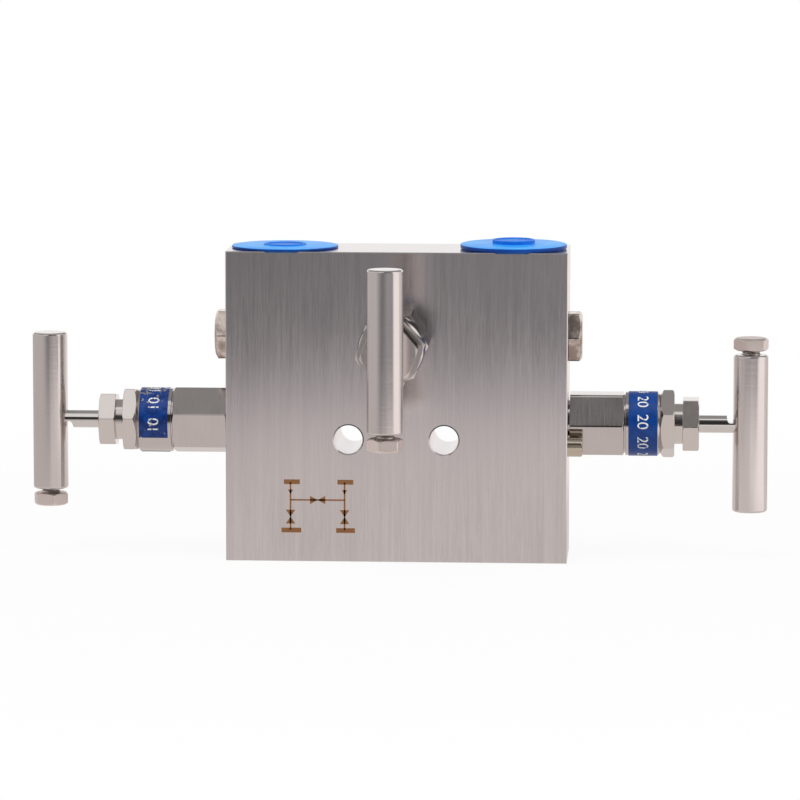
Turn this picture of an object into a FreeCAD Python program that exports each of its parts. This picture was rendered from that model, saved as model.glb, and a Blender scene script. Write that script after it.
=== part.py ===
import FreeCAD, Part
import os
import Sketcher

# Three-valve instrument manifold: a steel block that carries two isolating needle valves on
# its ends and one equalizing needle valve on its front, each with a T-bar handle.
# Units are millimetres and degrees. The origin is the centre of the block's bottom face,
# X points to the right isolating valve, Y away from the equalizing valve, and Z up.

doc = FreeCAD.newDocument("InstrumentManifold")
Vector = FreeCAD.Vector

# Driving dimensions: name, value, what it measures
SIZES = [
    # block
    ("block_width", 107, "block along X"),
    ("block_depth", 32, "block along Y"),
    ("block_height", 97.5, "block along Z"),
    ("block_chamfer", 0.3, "chamfer on the block's long edges"),
    ("isolating_axis_height", 42.5, "isolating valve axes above the base"),
    ("upper_axis_drop", 27.5, "equalizing valve and vent axes below the block's top"),
    ("mounting_hole_diameter", 9, "through holes along Y"),
    ("mounting_hole_pitch", 30, "through holes apart along X"),
    ("mounting_hole_height", 38.6, "through holes above the base"),
    ("mounting_hole_chamfer", 0.4, "break of the through holes' edges"),
    ("port_pitch", 72, "ports apart along X"),
    ("port_tap_diameter", 18.3, "tapped bore of each port"),
    ("port_mouth_diameter", 21.5, "countersink of each port"),
    ("port_depth", 19, "each port, to its flat bottom"),
    ("drill_point_half_angle", 59, "drill point of the plug bores"),
    # flow passages
    ("chamber_diameter", 8.5, "valve chamber"),
    ("chamber_length", 4, "valve chamber, from the gasket face to the seat cone"),
    ("orifice_diameter", 4, "seat orifice"),
    ("orifice_length", 4.75, "orifice behind the seat cone"),
    ("process_drill_diameter", 5, "passage from the bottom port to the orifice"),
    ("instrument_drill_diameter", 5, "passage from the valve chamber to the top port"),
    ("cross_drill_diameter", 3.5, "passages to the equalizing valve"),
    ("process_drill_setback", 2.85, "passage from the bottom port, behind the seat cone"),
    # vent plugs
    ("plug_across_flats", 15, "plug head"),
    ("plug_head_length", 4.3, "plug head"),
    ("plug_head_chamfer", 1.1, "plug head, along its axis"),
    ("plug_thread_diameter", 13, "plug thread"),
    ("plug_thread_length", 8.5, "plug thread"),
    ("plug_bore_depth", 10, "tapped bore for the plug"),
    ("thread_end_chamfer", 1, "inner ends of plug and bonnet threads"),
    # bonnet and its seat in the block
    ("nose_diameter", 16, "bonnet thread in the block"),
    ("nose_length", 11, "bonnet thread in the block"),
    ("gasket_thickness", 1, "gasket under the bonnet"),
    ("gasket_bore", 9.5, "gasket under the bonnet"),
    ("thread_clearance", 0.05, "radial play of every thread"),
    ("running_clearance", 0.05, "radial play of every sliding or turning piece"),
    ("relief_diameter", 14.5, "thread relief between block and hexagon"),
    ("relief_length", 0.6, "thread relief between block and hexagon"),
    ("bonnet_across_flats", 19.05, "bonnet hexagon"),
    ("bonnet_hex_length", 16.9, "bonnet hexagon"),
    ("bonnet_hex_chamfer", 0.5, "outer end of the bonnet hexagon, along its axis"),
    ("collar_diameter", 20.1, "round collar of the bonnet"),
    ("collar_length", 11.5, "round collar of the bonnet"),
    ("collar_chamfer", 0.8, "outer edge of the collar"),
    ("collar_groove_width", 0.5, "groove between hexagon and collar"),
    ("collar_groove_depth", 0.5, "groove between hexagon and collar"),
    ("band_offset", 1.5, "from the hexagon to the identification band"),
    ("band_width", 9.1, "identification band"),
    ("band_thickness", 0.15, "identification band"),
    ("band_gap_angle", 52, "opening of the band"),
    ("tip_guide_length", 5.5, "bore that guides the needle tip"),
    ("stem_thread_diameter", 8, "stem thread in the bonnet"),
    ("stem_thread_bore_length", 13.5, "stem thread in the bonnet"),
    ("backseat_length", 2, "shoulder between thread and packing"),
    ("packing_chamber_diameter", 11, "packing chamber"),
    ("packing_chamber_length", 7, "packing chamber"),
    ("washer_thickness", 1, "washer under the packing"),
    ("packing_ring_thickness", 1.6, "one packing ring"),
    ("gland_length", 2.4, "gland ring on top of the packing"),
    # lock nut and packing bolt
    ("lock_nut_across_flats", 19.05, "lock nut"),
    ("lock_nut_thickness", 4.4, "lock nut"),
    ("lock_nut_chamfer", 1, "lock nut's inner face, along its axis"),
    ("lock_nut_outer_chamfer", 0.5, "lock nut's outer face, along its axis"),
    ("packing_bolt_diameter", 12.8, "packing bolt thread"),
    ("packing_bolt_exposed", 2.6, "thread that shows between lock nut and head"),
    ("packing_bolt_chamfer", 0.8, "inner end of the packing bolt's thread"),
    ("packing_head_across_flats", 15.9, "packing bolt head"),
    ("packing_head_length", 5.1, "packing bolt head"),
    ("packing_head_chamfer", 0.5, "packing bolt head, along its axis"),
    # lock pins
    ("pin_diameter", 6, "lock pin beside each bonnet"),
    ("pin_projection", 4.7, "lock pin out of the block"),
    ("pin_depth", 8, "lock pin in the block"),
    ("pin_chamfer", 0.4, "lock pin's outer edge"),
    ("pin_gap", 0.1, "lock pin to the flat of the bonnet"),
    # needle tip and stem
    ("tip_diameter", 6, "needle tip in its guide"),
    ("tip_end_diameter", 1.5, "small end of the needle cone"),
    ("tip_half_angle", 30, "needle cone"),
    ("tip_neck_diameter", 2.4, "neck under the needle tip's button"),
    ("tip_button_diameter", 3.8, "button that the stem holds"),
    ("socket_lip", 0.8, "lip of the stem that holds the button"),
    ("socket_depth", 2.4, "socket in the stem's lower end"),
    ("socket_play", 0.05, "play of the button along the axis"),
    ("seat_play", 0.03, "gap left at the seat when the valve is closed"),
    ("tip_play", 0.2, "gap between needle tip and stem"),
    ("closing_travel", 1.75, "stem travel from rest to closed"),
    ("opening_travel", 2.25, "stem travel from rest to fully open"),
    ("stem_diameter", 5.5, "stem"),
    ("stem_end_chamfer", 0.3, "outer end of the stem"),
    ("stem_low_end", 8, "lower end of the stem above the nose's end"),
    ("stem_exposed_length", 10.65, "from the packing bolt's head to the handle"),
    ("stem_flat_depth", 2.2, "flat that the handle's bolt bears on"),
    ("stem_flat_exposed", 1.3, "flat that shows beside the handle"),
    ("stem_flat_cutter_radius", 0.8, "rounded end of the flat"),
    # handle
    ("bar_diameter", 11, "T-bar"),
    ("bar_bolt_side", 22.12, "from the stem axis to the end with the bolt"),
    ("bar_free_side", 27.6, "from the stem axis to the free end"),
    ("bar_chamfer", 0.5, "edges of the T-bar's ends"),
    ("bar_hole_depth", 7.75, "stem hole in the T-bar"),
    ("bolt_diameter", 6, "bolt thread"),
    ("bolt_across_flats", 10, "bolt head"),
    ("bolt_head_thickness", 4, "bolt head"),
    ("bolt_head_chamfer", 0.7, "bolt head, along its axis"),
    ("bolt_gap", 1.3, "thread that shows between T-bar and bolt head"),
    ("bolt_point_chamfer", 0.8, "point of the bolt"),
    ("bolt_head_clock", 15, "turn of the bolt head's corners"),
    # dust caps
    ("cap_flange_diameter", 33.5, "flange of the dust cap"),
    ("left_cap_flange_thickness", 0.8, "flange of the left dust cap, which is pressed flat"),
    ("right_cap_flange_thickness", 1.3, "flange of the right dust cap"),
    ("right_cap_lean", 0.85, "lean of the right dust cap, whose back stands off the block"),
    ("cap_flange_round", 0.3, "rounding of the flange's edges"),
    ("cap_boss_diameter", 13.4, "raised centre of the dust cap"),
    ("left_cap_boss_height", 0.5, "raised centre of the left dust cap, pressed in"),
    ("right_cap_boss_height", 1.4, "raised centre of the right dust cap"),
    ("cap_dish_diameter", 11.4, "dish in the raised centre"),
    ("cap_dish_depth", 0.3, "dish in the raised centre"),
    ("cap_shank_diameter", 18, "shank of the dust cap under its flange"),
    ("cap_shank_taper", 0.6, "how much the shank's radius shrinks"),
    ("cap_shank_length", 8, "shank of the dust cap"),
    ("cap_shank_wall", 1.3, "wall of the shank"),
    # construction
    ("overlap", 1, "how far joined shapes and cutters run into each other"),
]
PACKING_RING_COUNT = 3

sheet = doc.addObject("Spreadsheet::Sheet", "Sizes")
for row, (alias, value, meaning) in enumerate(SIZES, start=1):
    sheet.set(f"A{row}", alias.replace("_", " "))
    sheet.set(f"B{row}", str(value))
    sheet.set(f"C{row}", meaning)
    sheet.setAlias(f"B{row}", alias)
doc.recompute()

# Stations along a valve's axis, measured outward from the face of the block
NOSE_END = "-Sizes.nose_length"
GASKET_FACE = f"({NOSE_END} - Sizes.gasket_thickness)"
SEAT_TOP = f"({GASKET_FACE} - Sizes.chamber_length)"
SEAT = f"({SEAT_TOP} - (Sizes.chamber_diameter - Sizes.orifice_diameter) / 2)"
ORIFICE_END = f"({SEAT} - Sizes.orifice_length)"
PROCESS_DRILL = f"({SEAT} - Sizes.process_drill_setback)"
CHAMBER_MIDDLE = f"({GASKET_FACE} - Sizes.chamber_length / 2)"
HEX_START = "Sizes.relief_length"
HEX_END = f"({HEX_START} + Sizes.bonnet_hex_length)"
COLLAR_START = f"({HEX_END} + Sizes.collar_groove_width)"
COLLAR_END = f"({HEX_END} + Sizes.collar_length)"
BAND_START = f"({HEX_END} + Sizes.band_offset)"
NUT_END = f"({COLLAR_END} + Sizes.lock_nut_thickness)"
HEAD_START = f"({NUT_END} + Sizes.packing_bolt_exposed)"
HEAD_END = f"({HEAD_START} + Sizes.packing_head_length)"
GUIDE_END = f"({NOSE_END} + Sizes.tip_guide_length)"
THREAD_END = f"({GUIDE_END} + Sizes.stem_thread_bore_length)"
PACKING_START = f"({THREAD_END} + Sizes.backseat_length)"
PACKING_END = f"({PACKING_START} + Sizes.packing_chamber_length)"
RINGS_START = f"({PACKING_START} + Sizes.washer_thickness)"
RINGS_END = f"({RINGS_START} + {PACKING_RING_COUNT} * Sizes.packing_ring_thickness)"
GLAND_END = f"({RINGS_END} + Sizes.gland_length)"
STEM_LOW = f"({NOSE_END} + Sizes.stem_low_end)"
STEM_THREAD_END = f"({THREAD_END} - Sizes.opening_travel - Sizes.running_clearance)"
BAR_START = f"({HEAD_END} + Sizes.stem_exposed_length)"
BAR_AXIS = f"({BAR_START} + Sizes.bar_diameter / 2)"
STEM_END = f"({BAR_START} + Sizes.bar_hole_depth)"
FLAT_START = f"({BAR_START} - Sizes.stem_flat_exposed)"
NEEDLE_SEAT = f"({SEAT} + Sizes.closing_travel + Sizes.seat_play)"
NEEDLE_SLOPE = "tan(Sizes.tip_half_angle)"
FLAT_DISTANCE = "(Sizes.stem_diameter / 2 - Sizes.stem_flat_depth)"
UPPER_AXIS = "(Sizes.block_height - Sizes.upper_axis_drop)"

# Radii that two pieces share
PLUG_BORE = "(Sizes.plug_thread_diameter / 2 + Sizes.thread_clearance)"
NOSE_BORE = "(Sizes.nose_diameter / 2 + Sizes.thread_clearance)"
STEM_THREAD = "(Sizes.stem_thread_diameter / 2 - Sizes.running_clearance)"
STEM_BORE = "(Sizes.stem_diameter / 2 + Sizes.running_clearance)"
BOLT_BORE = "(Sizes.packing_bolt_diameter / 2 + Sizes.thread_clearance)"
PIN_BORE = "(Sizes.pin_diameter / 2 + Sizes.thread_clearance)"
PACKING = "(Sizes.packing_chamber_diameter / 2 - Sizes.running_clearance)"
COLLAR = "Sizes.collar_diameter / 2"

UPRIGHT = ("vector(1; 0; 0)", 90)  # turns a sketch on the XY plane to stand in the XZ plane


def new_body(label):
    """Start a sub-part as a PartDesign body with its own label."""
    body = doc.addObject("PartDesign::Body", label)
    body.Label = label
    return body


def placing(x="0", y="0", z="0", axis="vector(0; 0; 1)", angle="0"):
    """Expression of a placement from a place, a turning axis and an angle."""
    return f"placement(vector({x}; {y}; {z}); rotation({axis}; {angle}))"


def value_of(expression):
    """Work an expression out to seed a sketch, so that the solver starts at the answer."""
    return float(sheet.evalExpression(expression))


def outline(body, name, points, at=None):
    """Closed sketch through points (across, along), each a pair of expressions.

    The sketch lies in the body's XZ plane with its vertical axis on Z, or where at says.
    """
    sketch = body.newObject("Sketcher::SketchObject", name)
    role = "XZ_Plane" if at is None else "XY_Plane"
    plane = next(f for f in body.Origin.OriginFeatures if f.Role == role)
    sketch.AttachmentSupport = [(plane, "")]
    sketch.MapMode = "FlatFace"
    if at is not None:
        sketch.setExpression("AttachmentOffset", at)
    corners = [Vector(value_of(x), value_of(y), 0) for x, y in points]
    count = len(points)
    for i in range(count):
        sketch.addGeometry(Part.LineSegment(corners[i], corners[(i + 1) % count]), False)
    for i in range(count):
        sketch.addConstraint(Sketcher.Constraint("Coincident", i, 2, (i + 1) % count, 1))
    for i, expressions in enumerate(points):
        for kind, expression, seed in zip(("DistanceX", "DistanceY"), expressions, corners[i]):
            number = sketch.addConstraint(Sketcher.Constraint(kind, -1, 1, i, 1, seed))
            sketch.setExpression(f"Constraints[{number}]", expression)
    return sketch


def turn(body, name, points, at=None, angle=None):
    """Turn an outline about its vertical axis and add it to the body."""
    feature = body.newObject("PartDesign::Revolution", name)
    return revolve(feature, outline(body, name + "Outline", points, at), angle)


def bore(body, name, points, at=None):
    """Turn an outline about its vertical axis and take it out of the body."""
    feature = body.newObject("PartDesign::Groove", name)
    return revolve(feature, outline(body, name + "Outline", points, at), None)


def revolve(feature, sketch, angle):
    feature.Profile = sketch
    feature.ReferenceAxis = (sketch, ["V_Axis"])
    feature.Angle = 360
    feature.Refine = False  # crossing bores stay sound at other sizes when faces aren't merged
    if angle is not None:
        feature.setExpression("Angle", angle)
    sketch.Visibility = False
    return feature


def hexagon(body, name, across_flats, start, length, clock):
    """Add a hexagonal prism on the body's Z axis, with a corner at the angle clock."""
    prism = body.newObject("PartDesign::AdditivePrism", name)
    prism.Polygon = 6
    prism.setExpression("Circumradius", f"{across_flats} / sqrt(3)")
    prism.setExpression("Height", length)
    prism.setExpression("Placement", placing(z=start, angle=clock))
    return prism


def break_corners(body, name, across_flats, edge, depth, way="-"):
    """Turn the corners of a hexagon off in a 30 degree chamfer.

    edge is the station of the hexagon's face, depth the chamfer's length at a corner, and
    way is "-" where it runs to lower stations from the face, "+" where it runs to higher.
    """
    corner = f"({across_flats} / sqrt(3))"
    inner = f"({corner} - {depth} / tan(30))"
    outer = f"({corner} + Sizes.overlap)"
    return bore(body, name, [
        (inner, edge), (outer, edge), (outer, f"{edge} {way} ({depth} + Sizes.overlap * tan(30))")])


def cylinder(radius, start, end):
    """Outline of a plain cylinder between two stations."""
    return [("0", start), (radius, start), (radius, end), ("0", end)]


def drilled_hole(radius, depth):
    """Outline of a hole that runs along +V and ends in the drill's point."""
    tip = f"({depth} + {radius} / tan(Sizes.drill_point_half_angle))"
    return [("0", "0"), (radius, "0"), (radius, depth), ("0", tip)]


def port_hole():
    """Outline of a port that runs along +V: countersink, tapped bore and flat bottom."""
    radius = "Sizes.port_tap_diameter / 2"
    mouth = "Sizes.port_mouth_diameter / 2"
    return [("0", "0"), (mouth, "0"), (radius, f"{mouth} - {radius}"), (radius, "Sizes.port_depth"),
            ("0", "Sizes.port_depth")]


class Valve:
    """Where one needle valve sits, and how its hexagons are clocked.

    In a valve's own frame Z points outward along the axis from the block's face and X
    points to the end of the handle that carries the bolt.
    """

    def __init__(self, name, place, axis, angle, clocks, pin_direction, band_clock):
        self.name = name
        self.place = place
        self.axis = axis
        self.angle = angle
        self.bonnet_clock, self.nut_clock, self.head_clock = clocks
        self.pin_direction = pin_direction
        self.band_clock = band_clock

    def placement(self):
        return placing(*self.place, self.axis, self.angle)


VALVES = [
    Valve("left_isolating", ("-Sizes.block_width / 2", "0", "Sizes.isolating_axis_height"),
          "vector(1; 0; -1)", 180, (45, 37, 37), 255, 62),
    Valve("right_isolating", ("Sizes.block_width / 2", "0", "Sizes.isolating_axis_height"),
          "vector(1; 0; 1)", 180, (30, 8, 31), 120, 296),
    Valve("equalizing", ("0", "-Sizes.block_depth / 2", UPPER_AXIS),
          "vector(1; 1; -1)", 120, (30, 42.6, 40), 0, 161),
]
PIN_RADIUS = "(Sizes.bonnet_across_flats / 2 + Sizes.pin_gap + Sizes.pin_diameter / 2)"

# The block's drilled sides: place and direction of a hole that starts there. Each turns the
# sketch's vertical axis from +Y into the block.
INTO = {
    "down": ("vector(1; 0; 0)", -90),
    "up": ("vector(1; 0; 0)", 90),
    "right": ("vector(0; 0; 1)", -90),
    "left": ("vector(0; 0; 1)", 90),
    "back": ("vector(0; 0; 1)", 0),
    "front": ("vector(0; 0; 1)", 180),
}


def drill(body, name, points, x, y, z, into):
    """Take a hole out of the block from the point x, y, z in the named direction.

    The outline is rolled about its own axis, so that no seam lies where two bores meet.
    """
    axis, angle = INTO[into]
    roll = placing(axis="vector(0; 1; 0)", angle="45")
    return bore(body, name, points, f"{placing(x, y, z, axis, angle)} * {roll}")


def make_block():
    """The block with its ports, valve pockets, plug bores and flow passages."""
    block = new_body("manifold_block")
    box = block.newObject("PartDesign::AdditiveBox", "BlockBar")
    box.setExpression("Length", "Sizes.block_width")
    box.setExpression("Width", "Sizes.block_depth")
    box.setExpression("Height", "Sizes.block_height")
    box.setExpression("Placement", placing("-Sizes.block_width / 2", "-Sizes.block_depth / 2"))
    doc.recompute()
    edges = [f"Edge{i}" for i, edge in enumerate(box.Shape.Edges, start=1)
             if abs(edge.tangentAt(edge.FirstParameter).y) < 0.5]
    chamfer = block.newObject("PartDesign::Chamfer", "BlockChamfer")
    chamfer.Base = (box, edges)
    chamfer.setExpression("Size", "Sizes.block_chamfer")

    # through holes for the mounting bolts, with broken edges on both faces
    radius = "Sizes.mounting_hole_diameter / 2"
    rim = f"({radius} + Sizes.mounting_hole_chamfer)"
    break_depth = "Sizes.mounting_hole_chamfer"
    for side, sign in (("Left", "-"), ("Right", "")):
        points = [("0", "0"), (rim, "0"), (radius, break_depth),
                  (radius, f"Sizes.block_depth - {break_depth}"), (rim, "Sizes.block_depth"),
                  ("0", "Sizes.block_depth")]
        drill(block, f"MountingHole{side}", points, f"{sign}Sizes.mounting_hole_pitch / 2",
              "-Sizes.block_depth / 2", "Sizes.mounting_hole_height", "back")

    # pocket of each valve: bonnet thread, chamber, seat cone and orifice in one outline
    pocket = [("0", "0"), (NOSE_BORE, "0"), (NOSE_BORE, GASKET_FACE),
              ("Sizes.chamber_diameter / 2", GASKET_FACE), ("Sizes.chamber_diameter / 2", SEAT_TOP),
              ("Sizes.orifice_diameter / 2", SEAT), ("Sizes.orifice_diameter / 2", ORIFICE_END),
              ("0", ORIFICE_END)]
    inward = [(across, f"-({along})") for across, along in pocket]
    for valve, into in zip(VALVES, ("right", "left", "back")):
        drill(block, f"Pocket_{valve.name}", inward, *valve.place, into)

    for side, sign, inside in (("Left", "-", "right"), ("Right", "", "left")):
        port_x = f"{sign}Sizes.port_pitch / 2"
        face_x = f"{sign}Sizes.block_width / 2"
        drill(block, f"TopPort{side}", port_hole(), port_x, "0", "Sizes.block_height", "down")
        drill(block, f"BottomPort{side}", port_hole(), port_x, "0", "0", "up")

        # plug bore, whose cross drilling meets the passage to the top port
        drill(block, f"PlugBore{side}", drilled_hole(PLUG_BORE, "Sizes.plug_bore_depth"),
              face_x, "0", UPPER_AXIS, inside)
        chamber_x = f"{sign}(Sizes.block_width / 2 + {CHAMBER_MIDDLE})"
        orifice_x = f"{sign}(Sizes.block_width / 2 + {PROCESS_DRILL})"
        # both passages start inside their port and end on the valve's axis
        rise = "(Sizes.block_height - Sizes.port_depth / 2 - Sizes.isolating_axis_height)"
        drill(block, f"InstrumentDrill{side}", cylinder("Sizes.instrument_drill_diameter / 2", "0", rise),
              chamber_x, "0", "Sizes.isolating_axis_height", "up")
        climb = "(Sizes.isolating_axis_height - Sizes.port_depth / 2)"
        drill(block, f"ProcessDrill{side}", cylinder("Sizes.process_drill_diameter / 2", "0", climb),
              orifice_x, "0", "Sizes.port_depth / 2", "up")

    # cross drillings from the plug bores: the left one meets the equalizing valve's chamber,
    # the right one its orifice
    reach = "(Sizes.block_width / 2 - Sizes.plug_bore_depth / 2)"
    chamber_y = f"-(Sizes.block_depth / 2 + {CHAMBER_MIDDLE})"
    orifice_y = f"-(Sizes.block_depth / 2 + {PROCESS_DRILL})"
    for side, sign, inside, y in (("Left", "-", "right", chamber_y), ("Right", "", "left", orifice_y)):
        drill(block, f"CrossDrill{side}", cylinder("Sizes.cross_drill_diameter / 2", "0", reach),
              f"{sign}{reach}", y, UPPER_AXIS, inside)

    # lock pin holes, each beside a flat of its bonnet
    for valve, into in zip(VALVES, ("right", "left", "back")):
        x, y, z = pin_place(valve)
        drill(block, f"PinHole_{valve.name}", cylinder(PIN_BORE, "0", "Sizes.pin_depth"), x, y, z, into)
    return block


def pin_place(valve):
    """Where a valve's lock pin leaves the block, as three expressions."""
    x, y, z = valve.place
    along = f"{PIN_RADIUS} * cos({valve.pin_direction})"
    aside = f"{PIN_RADIUS} * sin({valve.pin_direction})"
    if valve.name == "equalizing":
        return f"{x} + {aside}", y, f"{z} - {along}"
    if valve.name == "left_isolating":
        return x, f"{y} - {aside}", f"{z} - {along}"
    return x, f"{y} - {aside}", f"{z} + {along}"


def make_vent_plug(side, sign):
    """Hexagon head plug that closes the vent bore in the block's side."""
    plug = new_body(f"{side}_vent_plug")
    hexagon(plug, f"{side}PlugHead", "Sizes.plug_across_flats", "0", "Sizes.plug_head_length", 30)
    radius = "Sizes.plug_thread_diameter / 2"
    turn(plug, f"{side}PlugThread", [
        ("0", "Sizes.overlap"), (radius, "Sizes.overlap"),
        (radius, "Sizes.thread_end_chamfer - Sizes.plug_thread_length"),
        (f"{radius} - Sizes.thread_end_chamfer", "-Sizes.plug_thread_length"),
        ("0", "-Sizes.plug_thread_length")])
    break_corners(plug, f"{side}PlugChamfer", "Sizes.plug_across_flats", "Sizes.plug_head_length",
                  "Sizes.plug_head_chamfer")
    plug.setExpression("Placement", placing(
        f"{sign}Sizes.block_width / 2", "0", UPPER_AXIS, f"vector({sign}1; 0; 1)", 180))


def make_lock_pins():
    """The three lock pins, one beside each bonnet, as one group of separate solids."""
    pins = []
    for valve in VALVES:
        pin = new_body(f"lock_pin_{valve.name}")
        radius = "Sizes.pin_diameter / 2"
        turn(pin, f"Pin_{valve.name}", [
            ("0", "-Sizes.pin_depth"), (radius, "-Sizes.pin_depth"),
            (radius, "Sizes.pin_projection - Sizes.pin_chamfer"),
            (f"{radius} - Sizes.pin_chamfer", "Sizes.pin_projection"), ("0", "Sizes.pin_projection")])
        pin.setExpression("Placement", placing(*pin_place(valve), valve.axis, valve.angle))
        pins.append(pin)
    group = doc.addObject("Part::Compound", "bonnet_lock_pins")
    group.Label = "bonnet_lock_pins"
    group.Links = pins


def make_bonnet(valve):
    """Bonnet: threaded nose, hexagon and round collar, bored for stem and packing."""
    bonnet = new_body(f"{valve.name}_bonnet")
    hexagon(bonnet, f"BonnetHex_{valve.name}", "Sizes.bonnet_across_flats", HEX_START,
            "Sizes.bonnet_hex_length", valve.bonnet_clock)
    nose = "Sizes.nose_diameter / 2"
    relief = "Sizes.relief_diameter / 2"
    groove = f"({COLLAR} - Sizes.collar_groove_depth)"
    turn(bonnet, f"BonnetBar_{valve.name}", [
        ("0", NOSE_END), (f"{nose} - Sizes.thread_end_chamfer", NOSE_END),
        (nose, f"{NOSE_END} + Sizes.thread_end_chamfer"), (nose, "-Sizes.relief_length"),
        (relief, "-Sizes.relief_length"), (relief, f"{HEX_START} + Sizes.overlap"),
        ("0", f"{HEX_START} + Sizes.overlap")])
    turn(bonnet, f"BonnetCollar_{valve.name}", [
        ("0", f"{HEX_END} - Sizes.overlap"), (groove, f"{HEX_END} - Sizes.overlap"), (groove, COLLAR_START),
        (COLLAR, COLLAR_START), (COLLAR, f"{COLLAR_END} - Sizes.collar_chamfer"),
        (f"{COLLAR} - Sizes.collar_chamfer", COLLAR_END), ("0", COLLAR_END)])
    break_corners(bonnet, f"BonnetOuterChamfer_{valve.name}", "Sizes.bonnet_across_flats", HEX_END,
                  "Sizes.bonnet_hex_chamfer")
    guide = "(Sizes.tip_diameter / 2 + Sizes.running_clearance)"
    thread = "Sizes.stem_thread_diameter / 2"
    chamber = "Sizes.packing_chamber_diameter / 2"
    bore(bonnet, f"BonnetBore_{valve.name}", [
        ("0", NOSE_END), (guide, NOSE_END), (guide, GUIDE_END), (thread, GUIDE_END), (thread, THREAD_END),
        (STEM_BORE, THREAD_END), (STEM_BORE, PACKING_START), (chamber, PACKING_START),
        (chamber, PACKING_END), (BOLT_BORE, PACKING_END), (BOLT_BORE, COLLAR_END), ("0", COLLAR_END)])
    return bonnet


def ring(valve, label, name, inner, outer, start, end):
    """A plain ring between two stations on the valve's axis."""
    body = new_body(label)
    turn(body, f"{name}_{valve.name}", [(inner, start), (outer, start), (outer, end), (inner, end)])
    return body


def make_band(valve):
    """Identification band: a thin open ring around the bonnet's collar."""
    band = new_body(f"{valve.name}_id_band")
    inner = f"({COLLAR} + Sizes.thread_clearance / 2)"
    outer = f"({COLLAR} + Sizes.band_thickness)"
    end = f"({BAND_START} + Sizes.band_width)"
    sketch_turn = placing(angle=valve.band_clock)
    upright = f"{sketch_turn} * {placing(axis=UPRIGHT[0], angle=UPRIGHT[1])}"
    turn(band, f"Band_{valve.name}", [
        (inner, BAND_START), (outer, BAND_START), (outer, end), (inner, end)],
        at=upright, angle="360 - Sizes.band_gap_angle")
    return band


def make_lock_nut(valve):
    """Lock nut on the packing bolt, tightened against the bonnet's collar."""
    nut = new_body(f"{valve.name}_lock_nut")
    hexagon(nut, f"NutHex_{valve.name}", "Sizes.lock_nut_across_flats", COLLAR_END,
            "Sizes.lock_nut_thickness", valve.nut_clock)
    break_corners(nut, f"NutInnerChamfer_{valve.name}", "Sizes.lock_nut_across_flats", COLLAR_END,
                  "Sizes.lock_nut_chamfer", "+")
    break_corners(nut, f"NutOuterChamfer_{valve.name}", "Sizes.lock_nut_across_flats", NUT_END,
                  "Sizes.lock_nut_outer_chamfer")
    bore(nut, f"NutThread_{valve.name}", cylinder(BOLT_BORE, COLLAR_END, NUT_END))
    return nut


def make_packing_bolt(valve):
    """Packing bolt: its thread presses the gland ring, and the stem runs through it."""
    bolt = new_body(f"{valve.name}_packing_bolt")
    hexagon(bolt, f"PackingHead_{valve.name}", "Sizes.packing_head_across_flats", HEAD_START,
            "Sizes.packing_head_length", valve.head_clock)
    radius = "Sizes.packing_bolt_diameter / 2"
    turn(bolt, f"PackingThread_{valve.name}", [
        ("0", GLAND_END), (f"{radius} - Sizes.packing_bolt_chamfer", GLAND_END),
        (radius, f"{GLAND_END} + Sizes.packing_bolt_chamfer"),
        (radius, f"{HEAD_START} + Sizes.overlap"), ("0", f"{HEAD_START} + Sizes.overlap")])
    break_corners(bolt, f"PackingHeadChamfer_{valve.name}", "Sizes.packing_head_across_flats", HEAD_END,
                  "Sizes.packing_head_chamfer")
    bore(bolt, f"PackingBore_{valve.name}", cylinder(STEM_BORE, GLAND_END, HEAD_END))
    return bolt


def make_packing_rings(valve):
    """The stacked packing rings, as one group of separate solids."""
    rings = []
    for number in range(PACKING_RING_COUNT):
        start = f"({RINGS_START} + {number} * Sizes.packing_ring_thickness)"
        rings.append(ring(valve, f"{valve.name}_packing_ring_{number + 1}", f"PackingRing{number + 1}",
                          STEM_BORE, PACKING, start, f"({start} + Sizes.packing_ring_thickness)"))
    group = doc.addObject("Part::Compound", f"{valve.name}_packing_rings")
    group.Label = f"{valve.name}_packing_rings"
    group.Links = rings
    return group


def make_needle_tip(valve):
    """Needle tip that doesn't turn: cone, guided cylinder, neck and button."""
    tip = new_body(f"{valve.name}_needle_tip")
    radius = "Sizes.tip_diameter / 2"
    end_radius = "Sizes.tip_end_diameter / 2"
    seat_radius = "Sizes.orifice_diameter / 2"
    neck = "Sizes.tip_neck_diameter / 2"
    button = "Sizes.tip_button_diameter / 2"
    low = f"({NEEDLE_SEAT} - ({seat_radius} - {end_radius}) / {NEEDLE_SLOPE})"
    shoulder = f"({NEEDLE_SEAT} + ({radius} - {seat_radius}) / {NEEDLE_SLOPE})"
    top = f"({STEM_LOW} - Sizes.tip_play)"
    button_start = f"({STEM_LOW} + Sizes.socket_lip + Sizes.socket_play)"
    button_end = f"({STEM_LOW} + Sizes.socket_depth - Sizes.socket_play)"
    turn(tip, f"Tip_{valve.name}", [
        ("0", low), (end_radius, low), (radius, shoulder), (radius, top), (neck, top),
        (neck, button_start), (button, button_start), (button, button_end), ("0", button_end)])
    return tip


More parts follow.
